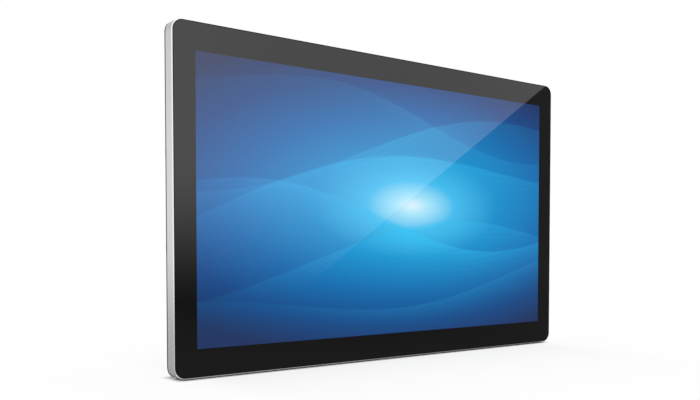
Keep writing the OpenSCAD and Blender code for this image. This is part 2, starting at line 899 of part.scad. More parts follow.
// Slots in the rear cover for air, sound and accessories
module cover_slots() {
    vent_mid = (back_depth + body_depth) / 2;
    for (i = [0 : vent_count - 1])
        translate([(i - (vent_count - 1) / 2) * vent_pitch, front_y + vent_mid, centre_z + hump_top_in - 1])
            linear_extrude(cover_wall + 2)
                rotate(90)
                    capsule(vent_len, vent_w);
    for (x = [-fan_x, fan_x], i = [0 : intake_count - 1])
        translate([x, front_y + body_in - 1, centre_z + fan_v + (i - (intake_count - 1) / 2) * vent_pitch])
            rotate([-90, 0, 0])
                linear_extrude(cover_wall + 2)
                    capsule(intake_len, vent_w);
    for (x = [-speaker_x, speaker_x], i = [0 : speaker_slots - 1])
        translate([x + (i - (speaker_slots - 1) / 2) * speaker_pitch, front_y + speaker_d + speaker_t / 2,
            centre_z + floor_in - cover_wall - 1])
            linear_extrude(cover_wall + 2)
                rotate(90)
                    capsule(speaker_t - 2, speaker_pitch / 2);
    for (s = [-hook_off, hook_off]) {
        block(-lip_w, lip_w, s - hook_len / 2, s + hook_len / 2,
            lip_end - hook_gap - 0.2, lip_end - 0.2);
        block(s - hook_len / 2, s + hook_len / 2, lip_h / 2 - cover_wall - 3, lip_h,
            lip_end - hook_gap - 0.2, lip_end - 0.2);
    }
}

// Black rear cover with its housing, port bay and screw bosses
module rear_cover() {
    lock_w = 9;
    lock_h = 5;
    color([0.09, 0.09, 0.1])
        difference() {
            union() {
                difference() {
                    union() {
                        tapered(lip_w, lip_h, lip_r, band_depth, back_depth, 0);
                        back_slab(back_in, hump_w, hump_h, hump_r, body_depth - back_in, hump_chamfer);
                    }
                    tapered(lip_w - 2 * cover_wall, lip_h - 2 * cover_wall, lip_r - cover_wall,
                        band_depth - 1, back_in, wall_shift);
                    slab(back_in - 1, body_in - back_in + 1)
                        rounded(hump_w - 2 * cover_wall, hump_h - 2 * cover_wall, hump_r - cover_wall);
                }
                slab(band_depth - tongue_len, tongue_len + 0.5)
                    difference() {
                        rounded(inner_w - 0.4, inner_h - 0.4, inner_r - 0.2);
                        rounded(inner_w - 0.4 - 2 * tongue_t, inner_h - 0.4 - 2 * tongue_t,
                            inner_r - 0.2 - tongue_t);
                    }
                block(bay_x0 - cover_wall, bay_x1 + cover_wall, bay_v0 - cover_wall, shield_v,
                    bay_d - cover_wall, back_depth);
                for (p = cover_points)
                    rod(p[0], p[1], cover_split, back_in - cover_split + eps, cover_boss_r);
            }
            block(bay_x0, bay_x1, bay_v0, -hump_h / 2, bay_d, back_depth + 1);
            block(port_start(0) - 2, port_mid(5) + audio_w / 2 + 2, -hump_h / 2 - 1, shield_v + 1,
                board_back - 1, board_back + usb_h + 1.5);
            for (p = cover_points) {
                rod(p[0], p[1], cover_split - 1, back_depth, screw_r + 0.2);
                rod(p[0], p[1], cover_seat, back_depth, screw_head_r + 0.4);
            }
            for (half = [mount_wide / 2, mount_narrow / 2], x = [-1, 1], v = [-1, 1])
                rod(x * half, v * half, body_in - 1, cover_wall + 2, post_r + 0.2);
            for (i = [0 : 2])
                rod(button_x, button_vs[i], back_in - 1, cover_wall + 2, button_rs[i] + button_gap);
            block(-hump_w / 2 - 1, -hump_side_in + 1, lock_v - lock_w / 2, lock_v + lock_w / 2,
                lock_d - lock_h / 2, lock_d + lock_h / 2);
            cover_slots();
        }
}

// Posts on the chassis that take the cover screws
module cover_posts() {
    color([0.72, 0.66, 0.45])
        for (p = cover_points)
            post(p[0], p[1], chassis_back, cover_split - chassis_back,
                cover_post_r, screw_r + slip, cover_hole_len);
}

// Screws that hold the rear cover
module cover_screws() {
    cross_len = 3.6;
    cross_w = 0.6;
    color([0.3, 0.3, 0.31])
        for (p = cover_points)
            difference() {
                screw(p[0], p[1], cover_seat, cover_seat - cover_split + cover_grip,
                    screw_r, screw_head_r, screw_head_t);
                for (cut = [[cross_len, cross_w], [cross_w, cross_len]])
                    block(p[0] - cut[0] / 2, p[0] + cut[0] / 2, p[1] - cut[1] / 2, p[1] + cut[1] / 2,
                        cover_seat + screw_head_t / 2, cover_seat + screw_head_t + 1);
            }
}

// Mainboard with its small parts and the card sockets
module mainboard() {
    coil_pitch = 11;
    coil_v = board_v0 + coil_up;
    plug_w = 8;
    plug_h = 12;
    chip_w = 12;
    chip_h = 10;
    chip_x = board_x1 - board_w * 0.27;
    chip_v = board_v1 - board_inset - chip_h;
    color([0.08, 0.3, 0.16])
        difference() {
            union() {
                block(board_x0, board_x1, board_v0, board_v1, board_d, board_back);
                for (end = [drive_v0 + drive_len, radio_v0 + radio_len])
                    translate([drive_x0, 0, end + card_over - card_sock_h])
                        difference() {
                            block(0, card_w, 0, card_sock_h, board_back - eps, card_d + 2 * card_t);
                            block(-1, card_w + 1, -1, card_bite, card_d - slip, card_d + 5);
                        }
                for (v = [drive_v0, radio_v0])
                    rod(drive_x0 + card_w / 2, v + card_screw_v, board_back - eps, card_rise + eps, 2.4);
                for (i = [0 : 3])
                    translate([memory_x0 + i * coil_pitch, 0, 0])
                        block(0, coil, coil_v, coil_v + coil, board_back - eps, board_back + 3.2);
                block(board_x1 - plug_w - 1, board_x1 - 1, plug_v - 4, plug_v - 4 + plug_h,
                    board_back - eps, board_back + 3.4);
                block(board_x1 - plug_w, board_x1 - 1, turn_v - cable_plug, turn_v,
                    board_back - eps, board_back + 1);
                block(chip_x, chip_x + chip_w, chip_v, chip_v + chip_h,
                    board_back - eps, board_back + 1.2);
            }
            for (p = main_posts)
                rod(p[0], p[1], board_d - 1, board_t + 2, small_r + 0.2);
            for (v = [drive_v0, radio_v0])
                rod(drive_x0 + card_w / 2, v + card_screw_v, board_back, card_rise + 1, card_screw_r + slip);
        }
}

// Posts under the three boards
module board_posts() {
    color([0.78, 0.68, 0.35]) {
        for (p = main_posts)
            post(p[0], p[1], chassis_back, board_post_h, board_post_r, small_r + slip, 4);
        for (p = touch_posts)
            post(p[0], p[1], chassis_back, touch_post_h, board_post_r, small_r + slip, touch_post_h - 0.2);
        for (p = button_posts)
            post(p[0], p[1], chassis_back, button_board_d - chassis_back, board_post_r, small_r + slip, 4);
    }
}

// Screws that hold the three boards
module board_screws() {
    color([0.75, 0.75, 0.75]) {
        for (p = main_posts)
            screw(p[0], p[1], board_back, small_len, small_r, small_head_r, small_head_t);
        for (p = touch_posts)
            screw(p[0], p[1], touch_d + board_t, board_t + touch_post_h - tip_gap - 0.2,
                small_r, small_head_r, small_head_t);
        for (p = button_posts)
            screw(p[0], p[1], button_board_d + board_t, small_len, small_r, small_head_r, small_head_t);
    }
}

// Processor package
module processor() {
    color([0.25, 0.26, 0.28])
        block(cpu_x - cpu_side / 2, cpu_x + cpu_side / 2, cpu_v - cpu_side / 2, cpu_v + cpu_side / 2,
            cpu_d, cpu_d + cpu_t);
}

// Metal plate that takes the heat from the processor
module heat_plate() {
    leg = 4;
    color([0.8, 0.5, 0.3]) {
        block(cpu_x - plate_side / 2, cpu_x + plate_side / 2,
            cpu_v - plate_side / 2, cpu_v + plate_side / 2, plate_d, plate_d + plate_t);
        for (x = [-1, 1], v = [-1, 1])
            rod(cpu_x + x * (plate_side / 2 - leg), cpu_v + v * (plate_side / 2 - leg), cpu_d, cpu_t + eps,
                leg - 1);
    }
}

// Flat pipe from the plate to the fins
module heat_pipe() {
    corner_x = pipe_x;
    color([0.78, 0.45, 0.25]) {
        block(cpu_x - plate_side / 2 + pipe_start, corner_x - pipe_r, cpu_v - pipe_w / 2, cpu_v + pipe_w / 2,
            pipe_d, pipe_d + pipe_t);
        translate([corner_x - pipe_r, front_y + pipe_d, centre_z + cpu_v + pipe_r])
            rotate([-90, 0, 0])
                rotate_extrude(angle = 90)
                    translate([pipe_r - pipe_w / 2, 0])
                        square([pipe_w, pipe_t]);
        block(corner_x - pipe_w / 2, corner_x + pipe_w / 2, cpu_v + pipe_r, pipe_v - pipe_r,
            pipe_d, pipe_d + pipe_t);
        translate([corner_x + pipe_r, front_y + pipe_d, centre_z + pipe_v - pipe_r])
            rotate([-90, 0, 0])
                rotate([0, 0, 180])
                    rotate_extrude(angle = 90)
                        translate([pipe_r - pipe_w / 2, 0])
                            square([pipe_w, pipe_t]);
        block(corner_x + pipe_r, fan_x + fin_w / 2 - 2, pipe_v - pipe_w / 2, pipe_v + pipe_w / 2,
            pipe_d, pipe_d + pipe_t);
    }
}

// Fins above the fan, threaded on the heat pipe
module fin_stack() {
    pitch = (fin_w - fin_t) / (fin_count - 1);
    cover_t = 0.6;
    x0 = fan_x - fin_w / 2;
    color([0.82, 0.83, 0.85])
        difference() {
            union() {
                for (i = [0 : fin_count - 1])
                    block(x0 + i * pitch, x0 + i * pitch + fin_t, fin_v0, fin_v1, fin_d0, fan_d1);
                block(x0, x0 + fin_w, fin_v0, fin_v1, fin_d0, fin_d0 + cover_t);
                block(x0, x0 + fin_w, fin_v0, fin_v1, fan_d1 - cover_t, fan_d1);
            }
            block(x0 - 1, x0 + fin_w + 1, pipe_v - pipe_w / 2 - slip, pipe_v + pipe_w / 2 + slip,
                pipe_d - slip, pipe_d + pipe_t + slip);
        }
}

// Fan housing, open above, on four legs
module fan_housing() {
    x0 = fan_x - fan_w / 2;
    x1 = fan_x + fan_w / 2;
    v1 = fan_v0 + fan_h;
    wall_d1 = fan_d1 - lid_t;
    color([0.14, 0.14, 0.15])
        difference() {
            union() {
                block(x0, x1, fan_v0, v1, fan_d0, fan_d0 + fan_wall);
                block(x0, x0 + fan_wall, fan_v0, v1, fan_d0, wall_d1);
                block(x1 - fan_wall, x1, fan_v0, v1, fan_d0, wall_d1);
                block(x0, x1, fan_v0, fan_v0 + fan_wall, fan_d0, wall_d1);
                rod(fan_x, fan_v, fan_d0 + eps, bearing_d1 - fan_d0 - eps, bearing_r + 1.5);
                for (x = [x0 + leg_r, x1 - leg_r], v = [fan_v0 + leg_r, v1 - leg_r])
                    rod(x, v, chassis_back, fan_d0 - chassis_back + eps, leg_r);
            }
            rod(fan_x, fan_v, fan_d0 + fan_wall, fan_t, bearing_r);
        }
}

// Fan lid with its round inlet
module fan_lid() {
    color([0.6, 0.61, 0.63])
        difference() {
            block(fan_x - fan_w / 2, fan_x + fan_w / 2, fan_v0, fan_v0 + fan_h, fan_d1 - lid_t, fan_d1);
            rod(fan_x, fan_v, fan_d1 - lid_t - 1, lid_t + 2, blade_r - 4);
        }
}

// Bronze sleeve for the fan shaft
module fan_bearing() {
    start = fan_d0 + fan_wall;
    color([0.75, 0.58, 0.3])
        difference() {
            rod(fan_x, fan_v, start, bearing_d1 - start, bearing_r - slip / 2);
            rod(fan_x, fan_v, start + 0.6, bearing_d1, shaft_r + shaft_gap);
        }
}

// Coil of the fan motor
module fan_stator() {
    start = fan_d0 + fan_wall;
    color([0.7, 0.4, 0.2])
        difference() {
            rod(fan_x, fan_v, start, bearing_d1 - start - 1.5, hub_r - 2.4);
            rod(fan_x, fan_v, start - 1, bearing_d1, bearing_r + 1.5 + slip);
        }
}

// Turning hub, blades and shaft of the fan
module fan_rotor() {
    blade_t = 0.9;
    hub_wall = 1.2;
    color([0.2, 0.2, 0.22]) {
        difference() {
            rod(fan_x, fan_v, rotor_d0, rotor_d1 - rotor_d0, hub_r);
            rod(fan_x, fan_v, rotor_d0 - 1, rotor_d1 - rotor_d0 + 1 - hub_wall, hub_r - hub_wall);
        }
        rod(fan_x, fan_v, fan_d0 + fan_wall + 1, rotor_d1 - fan_d0 - fan_wall - 1 - hub_wall / 2, shaft_r);
        for (i = [0 : blade_count - 1])
            translate([fan_x, front_y + rotor_d0, centre_z + fan_v])
                rotate([0, i * 360 / blade_count, 0])
                    translate([hub_r - 0.6, 0, 0])
                        rotate([0, 24, 0])
                            translate([0, 0, -blade_t / 2])
                                cube([blade_r - hub_r - 1.2, rotor_d1 - rotor_d0 - 0.5, blade_t]);
    }
}

// Memory socket with its two arms
module memory_socket() {
    top = memory_v0 + memory_h;
    x1 = memory_x0 + memory_full;
    arm_d = board_back + memory_tall - 1;
    color([0.1, 0.1, 0.11])
        difference() {
            union() {
                block(memory_x0, x1, top - memory_hold, top - memory_hold + memory_bar,
                    board_back, board_back + memory_tall);
                block(memory_x0, memory_x0 + memory_arm, top - memory_reach, top, board_back, arm_d);
                block(x1 - memory_arm, x1, top - memory_reach, top, board_back, arm_d);
            }
            block(memory_x0 + memory_arm + memory_fit - 0.1, x1 - memory_arm - memory_fit + 0.1,
                top - memory_hold - 1, top + slip, memory_d - slip, memory_d + memory_t + slip);
        }
}

// Memory module that lies over the mainboard
module memory_module() {
    x0 = memory_x0 + memory_arm + memory_fit;
    chip_w = 10;
    chip_h = 12;
    chip_t = 1;
    pitch = memory_w * 0.23;
    color([0.07, 0.36, 0.2]) {
        block(x0, x0 + memory_w, memory_v0, memory_v0 + memory_h, memory_d, memory_d + memory_t);
        for (i = [0 : 3])
            translate([x0 + memory_w / 2 + (i - 1.5) * pitch, 0, 0])
                block(-chip_w / 2, chip_w / 2, memory_v0 + 8, memory_v0 + 8 + chip_h,
                    memory_d + memory_t - eps, memory_d + memory_t + chip_t);
    }
}

// Card that lies over the mainboard, held in a socket at its upper end.
// Each chip is given by two shares of the length: where it starts and how long it is.
module card(v0, length, chips) {
    chip_t = 1.2;
    difference() {
        union() {
            block(drive_x0 + 0.2, drive_x0 + card_w - 0.2, v0, v0 + length, card_d, card_d + card_t);
            for (c = chips)
                block(drive_x0 + 4, drive_x0 + card_w - 4, v0 + c[0] * length, v0 + (c[0] + c[1]) * length,
                    card_d + card_t - eps, card_d + card_t + chip_t);
        }
        rod(drive_x0 + card_w / 2, v0 + card_screw_v, card_d - 1, card_t + 2, card_screw_r + 0.4);
    }
}

// Drive module
module drive_module() {
    color([0.05, 0.05, 0.25])
        card(drive_v0, drive_len, [[0.125, 0.225], [0.4, 0.225], [0.7, 0.15]]);
}

// Radio module
module radio_module() {
    color([0.1, 0.35, 0.3])
        card(radio_v0, radio_len, [[0.27, 0.47]]);
}

// Screws of the two card modules
module card_screws() {
    color([0.75, 0.75, 0.75])
        for (v = [drive_v0, radio_v0])
            screw(drive_x0 + card_w / 2, v + card_screw_v, card_d + card_t, card_t + card_rise - tip_gap,
                card_screw_r, 1.9, 0.7);
}

// Clock cell on the mainboard
module clock_cell() {
    color([0.8, 0.8, 0.8])
        rod(clock_x, clock_v, board_back, clock_t, clock_r);
}

// Steel plate around the sockets
module shield_plate() {
    color([0.78, 0.79, 0.8])
        difference() {
            block(port_start(0) - 5, port_mid(5) + audio_w / 2 + 4, shield_v, shield_v + shield_t,
                board_back - 3.4, board_back + usb_h + 4);
            for (i = [0 : 5])
                block(port_start(i) - shield_gap, port_start(i) + port_widths[i] + shield_gap,
                    shield_v - 1, shield_v + shield_t + 1,
                    board_back - shield_gap, board_back + port_heights[i] + shield_gap);
        }
}

// Double USB sockets
module usb_sockets() {
    depth = 17.5;
    mouth_w = usb_w - 1;
    mouth_h = 5.1;
    tongue_w = 10.4;
    usb_ds = [board_back + usb_h / 4, board_back + usb_h * 3 / 4];
    hollow = 12;
    color([0.75, 0.76, 0.78])
        for (i = [1, 2]) {
            difference() {
                block(port_start(i), port_start(i) + usb_w, socket_v, socket_v + depth, board_back,
                    board_back + usb_h);
                for (d = usb_ds)
                    block(port_mid(i) - mouth_w / 2, port_mid(i) + mouth_w / 2, socket_v - 1,
                        socket_v + hollow, d - mouth_h / 2, d + mouth_h / 2);
            }
            for (d = usb_ds)
                block(port_mid(i) - tongue_w / 2, port_mid(i) + tongue_w / 2, socket_v + 1,
                    socket_v + hollow + eps, d + 0.2, d + 2);
        }
}

// Network socket with its latch notch
module network_socket() {
    depth = 21;
    mouth_w = 11.8;
    mouth_h = 8;
    notch_w = 6;
    notch_h = 1.8;
    floor_h = 1.6;
    hollow = 14;
    color([0.7, 0.71, 0.73])
        difference() {
            block(port_start(3), port_start(3) + net_w, socket_v, socket_v + depth,
                board_back, board_back + net_h);
            block(port_mid(3) - mouth_w / 2, port_mid(3) + mouth_w / 2, socket_v - 1, socket_v + hollow,
                board_back + floor_h, board_back + floor_h + mouth_h);
            block(port_mid(3) - notch_w / 2, port_mid(3) + notch_w / 2, socket_v - 1, socket_v + hollow,
                board_back + floor_h + mouth_h - 1, board_back + floor_h + mouth_h + notch_h);
        }
}

// Video socket with its contact tongue
module video_socket() {
    depth = 11.5;
    mouth_w = video_w - 1;
    hollow = 8;
    low = board_back + 0.6;
    high = board_back + video_h - 0.6;
    color([0.72, 0.73, 0.75]) {
        difference() {
            block(port_start(4), port_start(4) + video_w, socket_v, socket_v + depth, board_back,
                board_back + video_h);
            translate([port_mid(4), front_y, centre_z + socket_v - 1])
                linear_extrude(hollow + 1)
                    polygon([[-mouth_w / 2 + 2, low], [mouth_w / 2 - 2, low], [mouth_w / 2, low + 2],
                        [mouth_w / 2, high], [-mouth_w / 2, high], [-mouth_w / 2, low + 2]]);
        }
        block(port_mid(4) - 5, port_mid(4) + 5, socket_v + 1, socket_v + hollow + eps, low + 2, low + 3.2);
    }
}

// Power socket with its centre pin
module power_socket() {
    depth = 14.4;
    bore_r = 3.1;
    pin_r = 1.15;
    hollow = 9.5;
    mid_d = board_back + 6;
    color([0.12, 0.12, 0.13]) {
        difference() {
            block(port_start(0), port_start(0) + power_w, socket_v, socket_v + depth, board_back,
                board_back + power_sock_h);
            rod_v(port_mid(0), socket_v - 1, mid_d, hollow + 1, bore_r);
        }
        rod_v(port_mid(0), socket_v + 1, mid_d, hollow - 1 + eps, pin_r);
    }
}

// Audio socket
module audio_socket() {
    depth = 14;
    color([0.1, 0.1, 0.11])
        difference() {
            block(port_start(5), port_start(5) + audio_w, socket_v, socket_v + depth, board_back,
                board_back + audio_h);
            rod_v(port_mid(5), socket_v - 1, board_back + audio_h / 2, audio_bore_len + 1, audio_bore_r);
        }
}

// Board that reads the touch sensor
module touch_board() {
    color([0.1, 0.35, 0.2])
        difference() {
            union() {
                block(touch_x - touch_w / 2, touch_x + touch_w / 2, touch_v0, touch_v0 + touch_h, touch_d,
                    touch_d + board_t);
                block(touch_x - 6, touch_x + 6, touch_v0 + touch_h * 0.41, touch_v0 + touch_h * 0.76,
                    touch_d + board_t - eps, touch_d + board_t + 1.2);
                block(touch_x - tail_w / 2 - 2, touch_x + tail_w / 2 + 2, touch_v0 + 3, touch_v0 + 7,
                    touch_d + board_t - eps, touch_d + board_t + 1.6);
            }
            for (p = touch_posts)
                rod(p[0], p[1], touch_d - 1, board_t + 2, small_r + 0.2);
        }
}

// Flat cable from the touch sensor to its board
module touch_tail() {
    x0 = touch_x - tail_w / 2;
    x1 = touch_x + tail_w / 2;
    over = touch_d + board_t + 0.3;
    color([0.75, 0.5, 0.15]) {
        block(x0, x1, tail_v, tail_v + ribbon_t, panel_d, tail_run_d + ribbon_t);
        block(x0, x1, tail_v, touch_v0 - 2, tail_run_d, tail_run_d + ribbon_t);
        block(x0, x1, touch_v0 - 2 - ribbon_t, touch_v0 - 2, tail_run_d, over + ribbon_t);
        block(x0, x1, touch_v0 - 2 - ribbon_t, touch_v0 + 3, over, over + ribbon_t);
    }
}

// Flat cable from the mainboard to the display panel
module display_cable() {
    x0 = cable_x - ribbon_w / 2;
    x1 = cable_x + ribbon_w / 2;
    low_d = panel_back + driver_t + 0.2;
    run_d = chassis_back + mount_plate_t + 0.8;
    high_d = board_back + 1.2;
    rise_v = slot_v + 2;
    color([0.2, 0.2, 0.22]) {
        block(x0, x1, driver_v0 + driver_h - 5, rise_v + ribbon_t, low_d, low_d + ribbon_t);
        block(x0, x1, rise_v, rise_v + ribbon_t, low_d, run_d + ribbon_t);
        block(x0, x1, rise_v, turn_v, run_d, run_d + ribbon_t);
        block(x0, x1, turn_v - ribbon_t, turn_v, run_d, high_d + ribbon_t);
        block(board_x1 - 6, x1, turn_v - cable_plug, turn_v, high_d, high_d + ribbon_t);
    }
}

// Board with the three button switches
module button_board() {
    w = 16;
    color([0.1, 0.35, 0.2])
        difference() {
            union() {
                block(button_x - w / 2, button_x + w / 2, button_posts[1][1] - 4, button_posts[0][1] + 4,
                    button_board_d, button_board_d + board_t);
                for (v = button_vs)
                    block(button_x - switch_side / 2, button_x + switch_side / 2,
                        v - switch_side / 2, v + switch_side / 2,
                        button_board_d + board_t - eps, button_board_d + board_t + switch_h);
            }
            for (v = button_vs)
                rod(button_x, v, button_board_d + board_t + 0.4, switch_h, stem_r + 0.3);
            for (p = button_posts)
                rod(p[0], p[1], button_board_d - 1, board_t + 2, small_r + 0.2);
        }
}

// Round button with a flange behind the cover and a stem into its switch
module push_button(i) {
    v = button_vs[i];
    r = button_rs[i];
    flange_d1 = back_in - 0.1;
    flange_d0 = flange_d1 - button_flange_t;
    tip = button_board_d + board_t + 0.4 + button_travel + 0.2;
    rod(button_x, v, flange_d0 + eps, back_depth + button_rise - flange_d0 - eps, r);
    rod(button_x, v, flange_d0, button_flange_t, r + button_flange);
    rod(button_x, v, tip, flange_d0 - tip + eps, stem_r);
}

// Power button
module power_button() {
    color([0.2, 0.2, 0.21])
        push_button(0);
}

// Upper volume button
module volume_up_button() {
    color([0.2, 0.2, 0.21])
        push_button(1);
}

// Lower volume button
module volume_down_button() {
    color([0.2, 0.2, 0.21])
        push_button(2);
}

// Speaker box with its cone to the floor slots
module speaker(x) {
    mouth = 1.5;
    difference() {
        block(x - speaker_w / 2, x + speaker_w / 2, speaker_v0, speaker_v0 + speaker_h, speaker_d,
            speaker_d + speaker_t);
        block(x - speaker_w / 2 + 3, x + speaker_w / 2 - 3, speaker_v0 - 1, speaker_v0 + mouth,
            speaker_d + 1.5, speaker_d + speaker_t - 1.5);
    }
}

// Left speaker
module speaker_left() {
    color([0.12, 0.12, 0.13])
        speaker(-speaker_x);
}

// Right speaker
module speaker_right() {
    color([0.12, 0.12, 0.13])
        speaker(speaker_x);
}

// Wires from the speakers to the mainboard, up beside the mounting plate
module speaker_wires() {
    plug_d = board_back + 1.6;
    plug_step = 4;
    color([0.6, 0.1, 0.1])
        for (w = [
            [-speaker_x + speaker_w / 2, board_x1 + wire_room * 0.3, plug_v],
            [speaker_x - speaker_w / 2, board_x1 + wire_room * 0.73, plug_v + plug_step]]) {
            start = min(w[0], w[1]);
            rod_x(start, wire_v, wire_d, abs(w[0] - w[1]), wire_r);
            ball(w[1], wire_v, wire_d, wire_r);
            rod_v(w[1], wire_v, wire_d, w[2] - wire_v, wire_r);
            ball(w[1], w[2], wire_d, wire_r);
            rod(w[1], w[2], wire_d, plug_d - wire_d, wire_r);
            ball(w[1], w[2], plug_d, wire_r);
            rod_x(board_x1 - 1, w[2], plug_d, w[1] - board_x1 + 1, wire_r);
        }
}

// Steel plate with the lock slot
module lock_plate() {
    t = 1.5;
    color([0.7, 0.71, 0.72])
        difference() {
            block(-hump_side_in, -hump_side_in + t, lock_v - 10, lock_v + 10, lock_d - 5, lock_d + 5);
            translate([-hump_side_in - 1, front_y + lock_d, centre_z + lock_v])
                rotate([0, 90, 0])
                    linear_extrude(t + 2)
                        capsule(7, 3);
        }
}

// Rubber pads under the band and the rear cover
module rubber_feet() {
    lift = foot_h + lip_inset;
    color([0.06, 0.06, 0.06])
        for (x = [-foot_x, foot_x]) {
            translate([x - foot_w / 2, front_y + band_depth / 2 - foot_front / 2 + 0.6, 0])
                cube([foot_w, foot_front, foot_h]);
            translate([x - foot_w / 2, front_y + back_depth - foot_rear - 1.5, 0])
                cube([foot_w, foot_rear, lift]);
        }
}

cover_glass();
border_mask();
glass_tape();
touch_sensor();
lcd_front_frame();
lcd_cell();
panel_mould_frame();
optical_films();
light_guide();
led_bar();
reflector_sheet();
lcd_back_pan();
lcd_driver_board();
trim_band();
lcd_bracket_left();
lcd_bracket_right();
frame_screws();
main_chassis();
chassis_screws();
mount_plate();
mount_posts();
rear_cover();
cover_posts();
cover_screws();
mainboard();
board_posts();
board_screws();
processor();
heat_plate();
heat_pipe();
fin_stack();
fan_housing();
fan_lid();
fan_bearing();
fan_stator();
fan_rotor();
memory_socket();
memory_module();
drive_module();
radio_module();
card_screws();
clock_cell();
shield_plate();
usb_sockets();
network_socket();
video_socket();
power_socket();
audio_socket();
touch_board();
touch_tail();
display_cable();
button_board();
power_button();
volume_up_button();
volume_down_button();
speaker_left();
speaker_right();
speaker_wires();
lock_plate();
rubber_feet();
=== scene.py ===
# %% [markdown]
# # A slab-shaped touch computer, dressed for a photograph
# The solids of the computer come ready made from the CAD model. This lesson gives them their
# finishes, adds the small pieces that CAD leaves plain, and sets up the studio around them.
# Everything is in metres: x to the right as seen from the front, y from the glass to the back,
# and z up.

# %% Load the CAD model
import json
import math

import bmesh
import bpy
import numpy as np
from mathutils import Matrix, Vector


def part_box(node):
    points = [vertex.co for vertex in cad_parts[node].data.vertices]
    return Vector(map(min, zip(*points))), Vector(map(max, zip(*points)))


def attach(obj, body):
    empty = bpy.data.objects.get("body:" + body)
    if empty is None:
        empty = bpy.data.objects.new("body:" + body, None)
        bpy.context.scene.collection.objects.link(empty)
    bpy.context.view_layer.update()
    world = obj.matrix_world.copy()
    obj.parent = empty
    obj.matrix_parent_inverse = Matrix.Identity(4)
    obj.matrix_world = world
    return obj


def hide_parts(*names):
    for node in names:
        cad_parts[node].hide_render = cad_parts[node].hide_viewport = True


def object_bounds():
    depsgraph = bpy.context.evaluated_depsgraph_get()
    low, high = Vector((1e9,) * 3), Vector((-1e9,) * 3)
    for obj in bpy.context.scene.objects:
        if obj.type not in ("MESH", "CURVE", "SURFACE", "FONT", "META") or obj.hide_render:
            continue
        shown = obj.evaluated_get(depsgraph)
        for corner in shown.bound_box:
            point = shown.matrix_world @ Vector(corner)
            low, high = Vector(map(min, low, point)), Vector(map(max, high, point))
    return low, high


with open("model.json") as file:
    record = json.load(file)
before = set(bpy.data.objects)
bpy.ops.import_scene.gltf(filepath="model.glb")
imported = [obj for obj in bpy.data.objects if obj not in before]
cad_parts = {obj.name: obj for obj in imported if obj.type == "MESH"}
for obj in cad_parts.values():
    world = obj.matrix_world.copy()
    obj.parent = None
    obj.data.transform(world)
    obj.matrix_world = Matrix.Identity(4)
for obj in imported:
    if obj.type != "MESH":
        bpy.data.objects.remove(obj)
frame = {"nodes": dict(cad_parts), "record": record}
cad_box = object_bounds()
nodes = frame["nodes"]
print(len(nodes), "CAD nodes, box", [[round(c, 4) for c in corner] for corner in cad_box])

# %% [markdown]
# ## The camera
# The photograph is 700 pixels wide. The four corners of the lit picture, whose size is known, fix
# the lens, the direction and the place of the camera. The upright edges hardly lean, so it looks
# almost level, from a little below the screen's middle, and its axis meets the picture 80 pixels
# under the middle of the frame. Tilting the camera up would make the edges lean, so the frame is
# shifted instead, as with a view camera.

# %% Camera at the photograph's angle
MM = 0.001
glass_low, glass_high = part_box("cover_glass")
front_y = glass_low[1]
centre_z = (glass_low[2] + glass_high[2]) / 2
photo_width_px = 700
focal_px = 847.81
axis_drop_px = 79.85
yaw, pitch = math.radians(38.366), math.radians(-2.149)
stand = np.array([-604.13, -684.99, -42.45]) * MM  # from the middle of the glass front
camera_data = bpy.data.cameras.new("photo_camera")
camera_data.sensor_width = 36.0
camera_data.lens = focal_px / photo_width_px * camera_data.sensor_width
camera_data.shift_y = axis_drop_px / photo_width_px
camera_data.clip_start = 0.01
camera = bpy.data.objects.new("photo_camera", camera_data)
camera.location = (stand[0], front_y + stand[1], centre_z + stand[2])
camera.rotation_euler = (math.pi / 2 + pitch, 0, -yaw)
bpy.context.scene.collection.objects.link(camera)
bpy.context.scene.camera = camera
print("lens", round(camera_data.lens, 2), "mm at", [round(c, 3) for c in camera.location])

# %% [markdown]
# ## A helper for finishes
# Every finish is a small network of shader nodes. Writing each network by hand is long, so one
# helper makes nodes, links them and sets plain numbers straight on the sockets. All patterns read
# Object coordinates, because the CAD pieces sit at the origin and carry their place in the mesh.

# %% Finish helper


